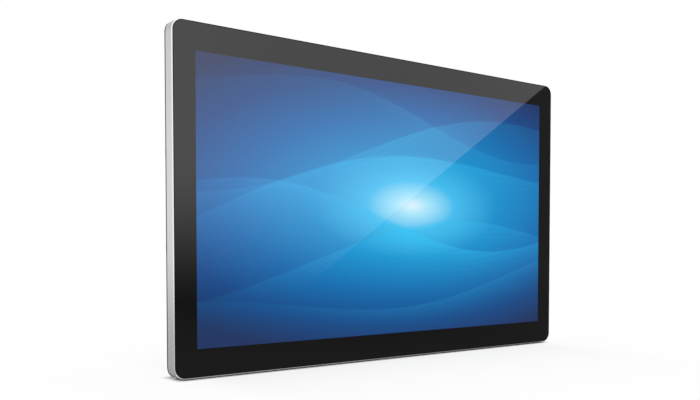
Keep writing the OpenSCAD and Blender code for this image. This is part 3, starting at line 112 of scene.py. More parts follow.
class Finish:
    """One material with a Principled shader and short ways to add nodes to it."""

    def __init__(self, name):
        self.material = bpy.data.materials.new(name)
        self.material.use_nodes = True
        self.tree = self.material.node_tree
        self.shader = self.tree.nodes["Principled BSDF"]
        self.place = self.tree.nodes.new("ShaderNodeTexCoord").outputs["Object"]

    def put(self, socket, value):
        """Links a socket to another, or sets its number or colour."""
        if isinstance(value, bpy.types.NodeSocket):
            self.tree.links.new(value, socket)
        else:
            socket.default_value = value

    def axis(self, letter):
        """The x, y or z of the Object coordinates, in metres."""
        split = self.tree.nodes.new("ShaderNodeSeparateXYZ")
        self.put(split.inputs[0], self.place)
        return split.outputs["XYZ".index(letter)]

    def math(self, operation, *values):
        """One Math node."""
        node = self.tree.nodes.new("ShaderNodeMath")
        node.operation = operation
        for socket, value in zip(node.inputs, values):
            self.put(socket, value)
        return node.outputs[0]

    def step(self, value, low, high, low_out=0.0, high_out=1.0, smooth=True):
        """Goes from low_out to high_out while value goes from low to high, and stays there."""
        node = self.tree.nodes.new("ShaderNodeMapRange")
        node.interpolation_type = "SMOOTHSTEP" if smooth else "LINEAR"
        for socket, given in zip(node.inputs, (value, low, high, low_out, high_out)):
            self.put(socket, given)
        return node.outputs[0]

    def stretch(self, x, y, z):
        """Object coordinates multiplied along each axis, for streaks."""
        node = self.tree.nodes.new("ShaderNodeMapping")
        self.put(node.inputs["Vector"], self.place)
        node.inputs["Scale"].default_value = (x, y, z)
        return node.outputs[0]

    def noise(self, size_mm, detail=2.0, rough=0.5, place=None):
        """Cloudy noise whose blobs are about size_mm wide."""
        node = self.tree.nodes.new("ShaderNodeTexNoise")
        self.put(node.inputs["Vector"], place or self.place)
        node.inputs["Scale"].default_value = 1 / (size_mm * MM)
        node.inputs["Detail"].default_value = detail
        node.inputs["Roughness"].default_value = rough
        return node.outputs["Fac"]

    def cells(self, size_mm, feature="F1"):
        """Distance pattern of cells about size_mm wide."""
        node = self.tree.nodes.new("ShaderNodeTexVoronoi")
        node.feature = feature
        self.put(node.inputs["Vector"], self.place)
        node.inputs["Scale"].default_value = 1 / (size_mm * MM)
        return node.outputs["Distance"]

    def blend(self, factor, first, second):
        """Mix of two colours."""
        node = self.tree.nodes.new("ShaderNodeMix")
        node.data_type = "RGBA"
        self.put(node.inputs[0], factor)
        for socket, value in ((node.inputs[6], first), (node.inputs[7], second)):
            self.put(socket, (*value, 1.0) if isinstance(value, tuple) else value)
        return node.outputs[2]

    def ramp(self, value, stops):
        """Colours at places along value."""
        node = self.tree.nodes.new("ShaderNodeValToRGB")
        elements = node.color_ramp.elements
        while len(elements) < len(stops):
            elements.new(0.5)
        for element, (place, colour) in zip(elements, stops):
            element.position = place
            element.color = (*colour, 1.0)
        self.put(node.inputs[0], value)
        return node.outputs[0]

    def bump(self, height, depth_mm, strength=1.0, under=None):
        """Normal of a relief depth_mm deep, on top of another one if given."""
        node = self.tree.nodes.new("ShaderNodeBump")
        node.inputs["Strength"].default_value = strength
        node.inputs["Distance"].default_value = depth_mm * MM
        self.put(node.inputs["Height"], height)
        if under is not None:
            self.put(node.inputs["Normal"], under)
        return node.outputs[0]

    def soft_edge(self, radius_mm):
        """Normal that rounds sharp edges by a radius, as a mould or a polish does."""
        node = self.tree.nodes.new("ShaderNodeBevel")
        node.samples = 6
        node.inputs["Radius"].default_value = radius_mm * MM
        return node.outputs[0]

    def edge_mask(self, radius_mm):
        """1 where the softened normal turns away from the flat one, at edges, else 0."""
        flat = self.tree.nodes.new("ShaderNodeNewGeometry").outputs["Normal"]
        dot = self.tree.nodes.new("ShaderNodeVectorMath")
        dot.operation = "DOT_PRODUCT"
        self.put(dot.inputs[0], flat)
        self.put(dot.inputs[1], self.soft_edge(radius_mm))
        return self.step(dot.outputs["Value"], 0.985, 0.90)

    def set(self, **sockets):
        """Sets shader sockets by name, with _ for a space."""
        for name, value in sockets.items():
            value = (*value, 1.0) if isinstance(value, tuple) else value
            self.put(self.shader.inputs[name.replace("_", " ")], value)
        return self.material


def dress(material, *names):
    """Gives CAD nodes a material in place of the one they came with."""
    for name in names:
        nodes[name].data.materials.clear()
        nodes[name].data.materials.append(material)
    print("finish", material.name, "on", ", ".join(names))


# %% [markdown]
# ## The lit picture and the black border
# On the real screen the glass, the sensor and the display are bonded into one block, so the
# picture seems to lie at the surface. It is drawn as light on the glass itself, inside the lit
# area, and the border around it is black glass with a coating that cuts reflections. The picture
# is a calm set of light veils over a blue glow, made of sine curves, so nothing has to be read
# from a file.

# %% Veils of light
veil_edge = (-0.0006, 0.0012)
strands_along, strands_down, strand_share = 14.0, 950.0, 0.10


def veil(finish, x, z, rise, swing, turns, phase, slope, fade, amount):
    """Light veil under the curve z = rise + swing * sin(turns * x + phase) + slope * x.

    It is bright just under the curve and fades downwards over the length fade, with fine strands
    that run along it like silk.
    """
    wave = finish.math("SINE", finish.math("MULTIPLY_ADD", x, turns, phase))
    line = finish.math("MULTIPLY_ADD", x, slope, rise)
    under = finish.math("SUBTRACT", finish.math("MULTIPLY_ADD", wave, swing, line), z)
    edge = finish.step(under, *veil_edge)
    below = finish.math("MAXIMUM", under, 0.0)
    tail = finish.math("EXPONENT", finish.math("MULTIPLY", below, -1 / fade))
    down = finish.math("MULTIPLY", under, strands_down)
    weave = finish.math("SINE", finish.math("MULTIPLY_ADD", x, strands_along * turns, down))
    strand = finish.math("MULTIPLY_ADD", weave, strand_share * amount, amount)
    return finish.math("MULTIPLY", finish.math("MULTIPLY", edge, tail), strand)


# rise, swing, turns, phase, slope, fade and amount of each veil
veil_rows = [
    (0.062, 0.030, 9.0, 0.4, 0.10, 0.030, 0.34),
    (0.020, 0.038, 7.5, 1.9, 0.16, 0.042, 0.38),
    (-0.012, 0.026, 11.0, 3.3, -0.06, 0.026, 0.46),
    (-0.050, 0.034, 8.2, 0.9, 0.05, 0.036, 0.32),
    (0.098, 0.022, 12.0, 2.5, -0.08, 0.024, 0.22),
    (-0.088, 0.020, 10.0, 4.4, 0.09, 0.022, 0.24),
]
print(len(veil_rows), "veils in the picture")

# %% Front glass
lit_half_w, lit_half_h = 238.05 * MM, 133.9 * MM
picture_edge = 0.0001
glow_middle, glow_size = (0.025, 0.004), (0.38, 0.160)
most_light = 0.92
glow_colours = [
    (0.0, (0.85, 0.96, 1.0)), (0.06, (0.45, 0.82, 0.97)), (0.17, (0.06, 0.50, 0.84)),
    (0.36, (0.003, 0.24, 0.56)), (0.60, (0.002, 0.125, 0.39)), (0.80, (0.005, 0.058, 0.23)),
    (1.0, (0.010, 0.026, 0.105))]
veil_colours = [
    (0.0, (0.012, 0.28, 0.68)), (0.55, (0.030, 0.56, 0.92)), (1.0, (0.020, 0.42, 0.80))]


def lit_picture(finish):
    """Colour of the picture: a glow that fades to navy corners, with veils of light across it."""
    x = finish.axis("X")
    z = finish.math("SUBTRACT", finish.axis("Z"), centre_z)
    squares = [
        finish.math("POWER", finish.math("DIVIDE", finish.math("SUBTRACT", way, middle), size), 2.0)
        for way, middle, size in zip((x, z), glow_middle, glow_size)]
    reach = finish.math("SQRT", finish.math("ADD", *squares))
    ground = finish.ramp(reach, glow_colours)
    veils = [veil(finish, x, z, *row) for row in veil_rows]
    light = veils[0]
    for other in veils[1:]:
        light = finish.math("ADD", light, other)
    near_glow = finish.step(reach, 1.05, 0.05, 0.12, 1.0)
    light = finish.math("MINIMUM", finish.math("MULTIPLY", light, near_glow), most_light)
    tint = finish.ramp(finish.step(x, -0.22, 0.22, smooth=False), veil_colours)
    return finish.blend(light, ground, tint)


def within(finish, distance, limit):
    """1 where a distance from the middle is below the limit, else 0."""
    return finish.step(distance, limit - picture_edge, limit + picture_edge, 1.0, 0.0, smooth=False)


def front_glass():
    """Black coated glass with the lit picture inside its border."""
    finish = Finish("coated_front_glass")
    off_x = finish.math("ABSOLUTE", finish.axis("X"))
    off_z = finish.math("ABSOLUTE", finish.math("SUBTRACT", finish.axis("Z"), centre_z))
    area = finish.math("MULTIPLY", within(finish, off_x, lit_half_w),
                       within(finish, off_z, lit_half_h))
    front = finish.math("LESS_THAN", finish.axis("Y"), front_y + 0.2 * MM)
    inside = finish.math("MULTIPLY", area, front)
    smudge = finish.noise(55.0, 3.0, 0.6)
    return finish.set(
        Base_Color=finish.blend(smudge, (0.0018, 0.0019, 0.0020), (0.0030, 0.0031, 0.0032)),
        Roughness=finish.step(smudge, 0.35, 0.7, 0.006, 0.014),
        Specular_IOR_Level=0.11,
        Emission_Color=finish.blend(inside, (0.0, 0.0, 0.0), lit_picture(finish)),
        Emission_Strength=1.0,
    )


dress(front_glass(), "cover_glass")
print("glass", [round(1000 * (b - a), 1) for a, b in zip(glass_low, glass_high)], "mm")

# %% [markdown]
# ## The silver band
# The band is anodised aluminium: a blasted, softly reflecting side, and a bright chamfer at the
# front that is cut after anodising and shines like a polished edge. They could be two materials on
# two sets of faces. Here one material changes colour and roughness at the depth where the chamfer
# ends, so the band stays one piece.

# %% Silver band
chamfer, chamfer_blur, chamfer_rough = 0.8 * MM, 0.03 * MM, 0.16
dark_land_full, dark_land_end = 0.02 * MM, 0.05 * MM


def silver_band():
    """Blasted aluminium side, polished front chamfer and a black, not metallic front land at the
    glass.
    """
    finish = Finish("silver_band")
    depth = finish.axis("Y")
    cut_end = front_y + chamfer
    cut = finish.step(depth, cut_end - chamfer_blur, cut_end + chamfer_blur, 1.0, 0.0, smooth=False)
    # The front land next to the glass is black and not metallic, darker than the metal around it.
    edge = finish.step(depth, front_y + dark_land_full, front_y + dark_land_end, 1.0, 0.0, smooth=False)
    blasted = finish.math("SUBTRACT", 1.0, cut)
    grain = finish.noise(0.25, 2.0, 0.6)
    cloud = finish.noise(30.0, 3.0, 0.5)
    side = finish.blend(cloud, (0.675, 0.682, 0.692), (0.695, 0.702, 0.712))
    metal = finish.blend(cut, side, (0.95, 0.955, 0.96))
    rough_side = finish.step(grain, 0.3, 0.7, 0.26, 0.36)
    return finish.set(
        Base_Color=finish.blend(edge, metal, (0.008, 0.008, 0.008)),
        Metallic=finish.math("SUBTRACT", 1.0, edge),
        Roughness=finish.math("ADD", finish.math("MULTIPLY", cut, chamfer_rough),
                              finish.math("MULTIPLY", rough_side, blasted)),
        Specular_IOR_Level=0.1,
        Normal=finish.bump(finish.math("MULTIPLY", grain, blasted), 0.012, 0.5),
    )


dress(silver_band(), "trim_band")

# %% [markdown]
# ## Moulded plastic
# The rear cover is black plastic with the fine spark-eroded grain of its mould. Cells of about
# half a millimetre give the grain, and slow noise varies its gloss as handling does. The narrow
# lip that meets the band is polished. The CAD edges are sharp; a Bevel node rounds them for the
# light, and the same rounding marks where edges wear pale. Buttons, rubber, films and print are
# other colours and grains of the same recipe.

# %% Plastic finishes
polish, gloss_spread = 0.16, 0.06
edge_round_mm, edge_wear_mm = 0.4, 0.5
cover_lip_end = front_y + 14.2 * MM


def moulded_plastic(name, dark, light, gloss, grain_mm, depth_mm, polished_to=None):
    """Plastic with an eroded mould grain and uneven gloss.

    It is polished in front of a depth, if one is given.
    """
    finish = Finish(name)
    grain = finish.cells(grain_mm)
    fine = finish.noise(grain_mm * 0.6, 2.0, 0.6)
    cloud = finish.noise(40.0, 3.0, 0.55)
    height = finish.math("ADD", grain, finish.math("MULTIPLY", fine, 0.5))
    worn = finish.math("MULTIPLY", finish.edge_mask(edge_wear_mm),
                       finish.step(cloud, 0.35, 0.65, 0.25, 0.8))
    rubbed = tuple(1.6 * tone + 0.012 for tone in light)
    rough = finish.step(cloud, 0.3, 0.7, gloss - gloss_spread, gloss + gloss_spread)
    if polished_to is not None:
        eroded = finish.step(finish.axis("Y"), polished_to - 0.1 * MM, polished_to)
        rough = finish.math("MULTIPLY_ADD", eroded, finish.math("SUBTRACT", rough, polish), polish)
        height = finish.math("MULTIPLY", height, eroded)
    speckled = finish.blend(finish.step(fine, 0.3, 0.7), dark, light)
    return finish.set(
        Base_Color=finish.blend(worn, speckled, rubbed),
        Roughness=rough,
        Specular_IOR_Level=0.45,
        Normal=finish.bump(height, depth_mm, 1.0, finish.soft_edge(edge_round_mm)),
    )


dress(moulded_plastic("black_cover", (0.013, 0.013, 0.014), (0.024, 0.024, 0.025), 0.52, 0.6, 0.05,
                      cover_lip_end),
      "rear_cover")
dress(moulded_plastic("button_black", (0.030, 0.030, 0.032), (0.040, 0.040, 0.042),
                      0.38, 0.3, 0.01),
      "power_button", "volume_up_button", "volume_down_button")
dress(moulded_plastic("fan_black", (0.018, 0.018, 0.018), (0.028, 0.028, 0.028), 0.45, 0.4, 0.015),
      "fan_housing", "fan_rotor", "memory_socket", "speaker_left", "speaker_right", "power_socket",
      "audio_socket")
dress(moulded_plastic("foot_rubber", (0.016, 0.016, 0.016), (0.030, 0.030, 0.030), 0.75, 0.8, 0.06),
      "rubber_feet", "glass_tape", "display_cable", "speaker_wires")
dress(moulded_plastic("white_film", (0.80, 0.80, 0.79), (0.86, 0.86, 0.85), 0.5, 0.3, 0.01),
      "optical_films", "reflector_sheet", "panel_mould_frame", "led_bar", "light_guide",
      "touch_sensor")
dress(moulded_plastic("black_print", (0.008, 0.008, 0.008), (0.012, 0.012, 0.012), 0.3, 0.3, 0.005),
      "border_mask", "lcd_front_frame", "lcd_cell", "processor")
dress(moulded_plastic("flex_amber", (0.42, 0.22, 0.05), (0.52, 0.29, 0.08), 0.35, 0.5, 0.01),
      "touch_tail")

# %% [markdown]
# ## Metals
# Plated sheet steel shows fine rolling streaks. A picture of brushed steel could give them, but
# noise that is stretched along one axis does it without a file. Screws, sockets, copper and brass
# use the same recipe with other colours.

# %% Metal finishes
streak_stretch, streak_mm, streak_depth_mm = (40.0, 40.0, 1.5), 60.0, 0.008


def streaked_metal(name, dark, light, gloss):
    """Metal with fine streaks along the axis that is stretched least."""
    finish = Finish(name)
    streaks = finish.noise(streak_mm, 4.0, 0.7, finish.stretch(*streak_stretch))
    cloud = finish.noise(18.0, 3.0, 0.5)
    tone = finish.math("ADD", finish.math("MULTIPLY", streaks, 0.7),
                       finish.math("MULTIPLY", cloud, 0.3))
    return finish.set(
        Base_Color=finish.blend(tone, dark, light),
        Metallic=1.0,
        Roughness=finish.step(streaks, 0.3, 0.7, gloss - 0.07, gloss + 0.07),
        Normal=finish.bump(streaks, streak_depth_mm, 0.5),
    )


dress(streaked_metal("zinc_steel", (0.50, 0.51, 0.53), (0.66, 0.67, 0.69), 0.36),
      "lcd_back_pan", "lcd_bracket_left", "lcd_bracket_right", "main_chassis", "mount_plate",
      "shield_plate", "lock_plate")
dress(streaked_metal("lid_steel", (0.15, 0.15, 0.155), (0.24, 0.24, 0.245), 0.38), "fan_lid")
dress(streaked_metal("screw_steel", (0.44, 0.44, 0.45), (0.60, 0.60, 0.61), 0.30),
      "frame_screws", "chassis_screws", "board_screws", "card_screws")
dress(streaked_metal("dark_steel", (0.05, 0.05, 0.052), (0.09, 0.09, 0.092), 0.38), "cover_screws")
dress(streaked_metal("brass_post", (0.62, 0.46, 0.18), (0.76, 0.58, 0.26), 0.30),
      "cover_posts", "board_posts", "fan_bearing")
dress(streaked_metal("copper", (0.68, 0.33, 0.18), (0.82, 0.45, 0.28), 0.30),
      "heat_plate", "heat_pipe", "fan_stator")
dress(streaked_metal("fin_alu", (0.68, 0.69, 0.70), (0.80, 0.81, 0.82), 0.30), "fin_stack")
dress(streaked_metal("socket_steel", (0.60, 0.60, 0.60), (0.76, 0.76, 0.77), 0.24),
      "usb_sockets", "network_socket", "video_socket", "clock_cell")

# %% [markdown]
# ## Mounting posts
# The eight posts for a wall mount are turned from steel rod, so fine rings run round each end face,
# and a thread is cut in each bore. The posts stand in two squares about the middle of the back.
# Folding the coordinates about that middle lays all eight on two, and the rings are a sine of the
# distance from the nearer one.

# %% Post finish
post_squares = (50.0 * MM, 37.5 * MM)
bore_r, post_r = 1.9 * MM, 5.0 * MM
ring_pitch, thread_pitch, ring_share = 0.22 * MM, 0.7 * MM, 0.04


def turned_posts():
    """Steel with turning rings on the ends, a thread in the bores and darker rims."""
    finish = Finish("turned_steel")
    across = finish.math("ABSOLUTE", finish.axis("X"))
    up = finish.math("ABSOLUTE", finish.math("SUBTRACT", finish.axis("Z"), centre_z))
    offs = []
    for half in post_squares:
        squares = [finish.math("POWER", finish.math("SUBTRACT", way, half), 2.0)
                   for way in (across, up)]
        offs.append(finish.math("SQRT", finish.math("ADD", *squares)))
    off = finish.math("MINIMUM", *offs)
    rings = finish.math("SINE", finish.math("MULTIPLY", off, 2 * math.pi / ring_pitch))
    winding = finish.math("MULTIPLY", finish.axis("Y"), 2 * math.pi / thread_pitch)
    thread = finish.math("MULTIPLY", finish.math("SINE", winding),
                         finish.math("LESS_THAN", off, bore_r))
    relief = finish.math("ADD", finish.math("MULTIPLY", rings, ring_share), thread)
    rim = finish.math("MAXIMUM", finish.step(off, bore_r + 0.5 * MM, bore_r + 0.1 * MM),
                      finish.step(off, post_r - 0.5 * MM, post_r - 0.05 * MM))
    scuff = finish.noise(3.0, 4.0, 0.65)
    bright = finish.blend(scuff, (0.34, 0.34, 0.35), (0.56, 0.56, 0.57))
    return finish.set(
        Base_Color=finish.blend(finish.math("MULTIPLY", rim, 0.55), bright, (0.10, 0.10, 0.105)),
        Metallic=1.0,
        Roughness=finish.step(scuff, 0.3, 0.7, 0.26, 0.42),
        Normal=finish.bump(relief, 0.2, 0.6),
    )


dress(turned_posts(), "mount_posts")

# %% [markdown]
# ## Circuit boards
# A board is green lacquer over copper tracks. Real tracks would be drawn one by one, but the boards
# lie inside, so the thin lines between the cells of a cell pattern stand in for them.

# %% Board finish


def board_lacquer(name, dark, light):
    """Green lacquer with faint tracks under it."""
    finish = Finish(name)
    tracks = finish.step(finish.cells(3.0, "DISTANCE_TO_EDGE"), 0.03, 0.06, 1.0, 0.0)
    return finish.set(
        Base_Color=finish.blend(tracks, dark, light),
        Roughness=finish.step(finish.noise(6.0), 0.3, 0.7, 0.28, 0.42),
        Normal=finish.bump(tracks, 0.03, 0.6),
    )


dress(board_lacquer("board_green", (0.010, 0.085, 0.040), (0.030, 0.150, 0.070)),
      "mainboard", "lcd_driver_board", "touch_board", "button_board", "memory_module",
      "drive_module", "radio_module")

# %% [markdown]
# ## Small pieces drawn as surfaces
# CAD keeps these pieces plain. They could be modelled by hand in Edit Mode, but each one is a
# section carried along a path, often in many copies, so it is drawn here as a whole array of
# points. Short helpers draw a section, carry it, join the points to closed skins, and make the
# object that rides on its body.

# %% Helpers for drawn pieces
X_AXIS, Y_AXIS, Z_AXIS = np.eye(3)
sharp_angle = math.radians(42)


def oval(half_wide, half_thick, count, square):
    """Section whose points are cos and sin, each raised to the power square, its sign kept."""
    turn = np.linspace(0, 2 * np.pi, count, endpoint=False) + np.pi / count
    flat = np.stack([np.cos(turn), np.sin(turn)], 1)
    return np.sign(flat) * np.abs(flat) ** square * [half_wide, half_thick]


def carry(path, side, rise, section):
    """Point of the path plus the section's first number along side and its second along rise."""
    return (path[..., None, :] + section[:, :1] * side[..., None, :]
            + section[:, 1:] * rise[..., None, :])


def skins(copies, rows, around, loop):
    """Faces of closed skins: quads between neighbouring rings, and a cap on each end ring.

    In a loop the last ring joins the first one, so there is nothing to cap.
    """
    ring, spot = np.arange(rows if loop else rows - 1)[:, None], np.arange(around)[None, :]
    here, onward, beside = ring * around, (ring + 1) % rows * around, (spot + 1) % around
    quads = np.stack([here + spot, here + beside, onward + beside, onward + spot], -1)
    start = np.arange(copies)[:, None] * rows * around
    faces = (start[:, :, None] + quads.reshape(-1, 4)).reshape(-1, 4).tolist()
    if not loop:
        caps = np.stack([np.arange(around)[::-1], (rows - 1) * around + np.arange(around)])
        faces += (start[:, :, None] + caps).reshape(-1, around).tolist()
    return faces


def add_piece(name, points, finish, slot, body, *stands_for, loop=False):
    """Makes an object from copies x rows x around points, and lets it ride on a body."""
    copies, rows, around = points.shape[:3]
    mesh = bpy.data.meshes.new(name)
    mesh.from_pydata(points.reshape(-1, 3).tolist(), [], skins(copies, rows, around, loop))
    skin = bmesh.new()
    skin.from_mesh(mesh)
    bmesh.ops.recalc_face_normals(skin, faces=skin.faces)
    skin.to_mesh(mesh)
    skin.free()
    mesh.polygons.foreach_set("use_smooth", np.ones(len(mesh.polygons), dtype=bool))
    mesh.set_sharp_from_angle(angle=sharp_angle)
    mesh.materials.append(finish)
    piece = bpy.data.objects.new(name, mesh)
    bpy.context.scene.collection.objects.link(piece)
    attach(piece, body)
    if stands_for:
        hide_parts(*stands_for)
    print(name, len(mesh.vertices), "points,", len(mesh.polygons), "faces")


# %% [markdown]
# ## The seal around the glass
# A gap of a fifth of a millimetre runs between the glass and the band. A black rubber seal fills
# it, a little below the front, so that no light comes out of the gap. It is a narrow section
# carried round the outline of the gap, a closed loop with no ends to cap.

# %% Glass seal
glass_gap, glass_r = 0.2 * MM, 9.8 * MM
seal_thick, seal_front, seal_back = 0.17 * MM, 0.15 * MM, 2.45 * MM


def gap_outline(corner_steps=12):
    """Quarter circles about the four corner points, joined by straight runs.

    Their radius is that of the gap's middle. The second array points outwards from the gap.
    """
    radius = glass_r + glass_gap / 2
    reach = np.array([glass_high[0], (glass_high[2] - glass_low[2]) / 2]) - glass_r
    turn = (np.arange(4)[:, None] + np.linspace(0, 1, corner_steps)) * np.pi / 2
    out = np.stack([np.cos(turn), np.sin(turn)], -1)
    corner = np.array([[1, 1], [-1, 1], [-1, -1], [1, -1]]) * reach
    flat, out = (corner[:, None] + radius * out).reshape(-1, 2), out.reshape(-1, 2)
    depth = np.full(len(flat), front_y + (seal_front + seal_back) / 2)
    path = np.stack([flat[:, 0], depth, centre_z + flat[:, 1]], -1)
    return path, np.stack([out[:, 0], 0 * depth, out[:, 1]], -1)


seal_path, seal_side = gap_outline()
seal_black = moulded_plastic("seal_black", (0.006, 0.006, 0.006), (0.011, 0.011, 0.011),
                             0.6, 0.3, 0.01)
add_piece("glass_seal",
          carry(seal_path, seal_side, np.broadcast_to(Y_AXIS, seal_path.shape),
                oval(seal_thick / 2, (seal_back - seal_front) / 2, 8, 0.4))[None],
          seal_black, "black_foam", "unit", loop=True)

# %% [markdown]
# ## The fan wheel
# The CAD wheel has flat blades. A moulded wheel has blades that lean back and get thinner towards
# the tip, on a hub whose edge is rounded on the side of the air slots. The hub is a profile turned
# about the shaft, and a blade is a thin section carried outwards along a curve; all blades are one
# array, turned about the shaft.

# %% Fan wheel
fan_low, fan_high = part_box("fan_rotor")
joints = frame["record"]["behaviour"]["joints"]
fan_x, _, fan_z = next(j for j in joints if j["name"] == "fan_spin")["pos_m"]
hub_front, hub_back = fan_low[1] + 0.8 * MM, fan_high[1]
hub_r, tip_r = 14.0 * MM, 28.6 * MM
blade_count, blade_stations = 17, 9
lean_back, lean_power, tip_thinning = 0.5, 1.4, 0.35


def turned_hub():
    """Point of the profile at distance r from the shaft, turned by the angle around it."""
    r = np.array([0.02, 1.5, 1.5, 12.8, 12.8, 14.0, 14.0, 13.7, 13.0, 4.0, 0.02]) * MM
    shaft_end, floor_y, dish_y = fan_low[1], hub_back - 1.3 * MM, hub_back - 0.2 * MM
    y = np.array([shaft_end, shaft_end, floor_y, floor_y, hub_front, hub_front,
                  hub_back - 1.0 * MM, hub_back - 0.3 * MM, hub_back, dish_y, dish_y])
    turn = np.linspace(0, 2 * np.pi, 40, endpoint=False)
    return np.stack(np.broadcast_arrays(fan_x + r[:, None] * np.cos(turn), y[:, None],
                                        fan_z + r[:, None] * np.sin(turn)), -1)[None]


def leaning_blades():
    """Blade k follows the angle k * turn / count - lean * s ** power as its radius grows with s."""
    s = np.linspace(0, 1, blade_stations)[None, :]
    start = np.arange(blade_count)[:, None] * 2 * np.pi / blade_count
    lean = start - lean_back * s ** lean_power
    r = (hub_r - 0.5 * MM) + s * (tip_r - hub_r)
    middle = np.full_like(lean, (hub_front + hub_back - 0.6 * MM) / 2)
    path = np.stack([fan_x + r * np.cos(lean), middle, fan_z + r * np.sin(lean)], -1)
    along = np.gradient(path, axis=1)
    along /= np.linalg.norm(along, axis=-1, keepdims=True)
    across = np.cross(along, Y_AXIS) * (1.0 - tip_thinning * s)[..., None]
    half_deep = (hub_back - hub_front - 1.2 * MM) / 2
    return carry(path, across, np.broadcast_to(Y_AXIS, path.shape),
                 oval(0.5 * MM, half_deep, 8, 0.35))


wheel_black = moulded_plastic("wheel_black", (0.040, 0.040, 0.042), (0.060, 0.060, 0.062),
                              0.36, 0.35, 0.01)
add_piece("fan_hub", turned_hub(), wheel_black, "fan_black", "fan", "fan_rotor")
add_piece("fan_blades", leaning_blades(), wheel_black, "fan_black", "fan")

# %% [markdown]
# ## Rubber feet
# Four pads carry the slab. A rubber pad is cut from sheet with round corners, and its lower edge is
# worn soft. A box with a Bevel modifier would come close, but here each pad is a rounded outline
# that shrinks a little towards the floor, so the wear sits on the lower edge alone.

# %% Rubber feet
feet_low, feet_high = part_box("rubber_feet")
pad_wide, front_deep, rear_deep = 36.0 * MM, 6.0 * MM, 8.0 * MM


def soft_pads():
    """Outline of each pad at rising levels, shrunk by 0.3, 0.1 and 0 mm from the floor up."""
    middle_x = np.array([feet_low[0] + pad_wide / 2, feet_high[0] - pad_wide / 2] * 2)
    middle_y = np.repeat([feet_low[1] + front_deep / 2, feet_high[1] - rear_deep / 2], 2)
    deep = np.repeat([front_deep, rear_deep], 2)
    tall = np.repeat([feet_high[2] - 0.1 * MM, feet_high[2]], 2)
    shrink = np.array([0.3, 0.1, 0.0, 0.0]) * MM
    level = np.stack([tall * 0, tall * 0.08, tall * 0.3, tall], 1)
    outline = oval(1.0, 1.0, 40, 0.22)
    x = middle_x[:, None, None] + outline[:, 0] * (pad_wide / 2 - shrink)[None, :, None]
    y = middle_y[:, None, None] + outline[:, 1] * (deep[:, None] / 2 - shrink)[:, :, None]
    return np.stack(np.broadcast_arrays(x, y, level[:, :, None]), -1)


pad_rubber = moulded_plastic("pad_rubber", (0.014, 0.014, 0.014), (0.028, 0.028, 0.028),
                             0.78, 0.8, 0.05)
add_piece("soft_feet", soft_pads(), pad_rubber, "foot_rubber", "unit", "rubber_feet")

# %% [markdown]
# ## Dust nets
# Behind the air slots a black net of fine plastic threads keeps dust out. The fan still shows
# through it. A net could be one sheet with holes, but threads are simpler: two sets of thin
# straight rods, crossed and laid on each other, each set one array of copies.

# %% Dust nets
cover_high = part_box("rear_cover")[1]
cover_wall, thread_r, mesh_size = 2.5 * MM, 0.11 * MM, 1.3 * MM
net_gap = 3.0 * thread_r


def rods(middle, spread, along, half_long, count):
    """Copy k starts at middle + spread * (k / (count - 1) - 0.5) and runs half_long both ways."""
    place = np.asarray(middle) + np.linspace(-0.5, 0.5, count)[:, None] * spread
    ends = np.array([-half_long, half_long])[:, None] * along
    path = place[:, None, :] + ends[None, :, :]
    sideways = spread / np.linalg.norm(spread)
    side = np.broadcast_to(sideways, path.shape)
    rise = np.broadcast_to(np.cross(along, sideways), path.shape)
    return carry(path, side, rise, oval(thread_r, thread_r, 6, 1.0))


def net_threads(middle, half_long, half_high, up, out):
    """Rods along x, and rods along up that lie on them on the side that out points to."""
    middle, shift = np.asarray(middle), 1.8 * thread_r * out
    long_count, high_count = (round(2 * half / mesh_size) for half in (half_long, half_high))
    lengthwise = rods(middle, 2 * half_high * up, X_AXIS, half_long, high_count)
    crosswise = rods(middle + shift, 2 * half_long * X_AXIS, up, half_high, long_count)
    return np.concatenate([lengthwise, crosswise])


vent_y = front_y + 38.0 * MM
net_y = cover_high[1] - cover_wall - net_gap
hump_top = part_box("fin_stack")[1][2] + 2.0 * MM
net_black = moulded_plastic("net_black", (0.010, 0.010, 0.010), (0.020, 0.020, 0.021),
                            0.5, 0.4, 0.01)
intakes = [net_threads((side * fan_x, net_y, fan_z), 30.5 * MM, 31.0 * MM, Z_AXIS, Y_AXIS)
           for side in (-1, 1)]
add_piece("intake_nets", np.concatenate(intakes), net_black, "black_foam", "unit")
outlet = net_threads((0, vent_y, hump_top - net_gap), 133.0 * MM, 5.2 * MM, Y_AXIS, Z_AXIS)
add_piece("outlet_net", outlet, net_black, "black_foam", "unit")

# %% [markdown]
# ## Contacts in the sockets
# Gold springs show in the mouths of the sockets. Each is a thin strip or wire carried along a
# gentle curve: bowed on the tongues of the serial sockets, sloping in the network socket and
# straight on the video socket's tongue.

# %% Contacts
gold = streaked_metal("contact_gold", (0.78, 0.55, 0.20), (0.88, 0.66, 0.28), 0.24)


def springs(x, y, z, path_y, path_z, section):
    """Copies at the points x, y, z of one spring that runs by path_y and path_z, in millimetres."""
    place = np.stack(np.broadcast_arrays(x, y, z), -1).reshape(-1, 1, 3)
    path = place + np.stack([0 * path_y, path_y, path_z], -1) * MM
    ahead = np.gradient(path, axis=1)
    ahead /= np.linalg.norm(ahead, axis=-1, keepdims=True)
    side = np.broadcast_to(X_AXIS, path.shape)
    return carry(path, side, np.cross(ahead, side), section)


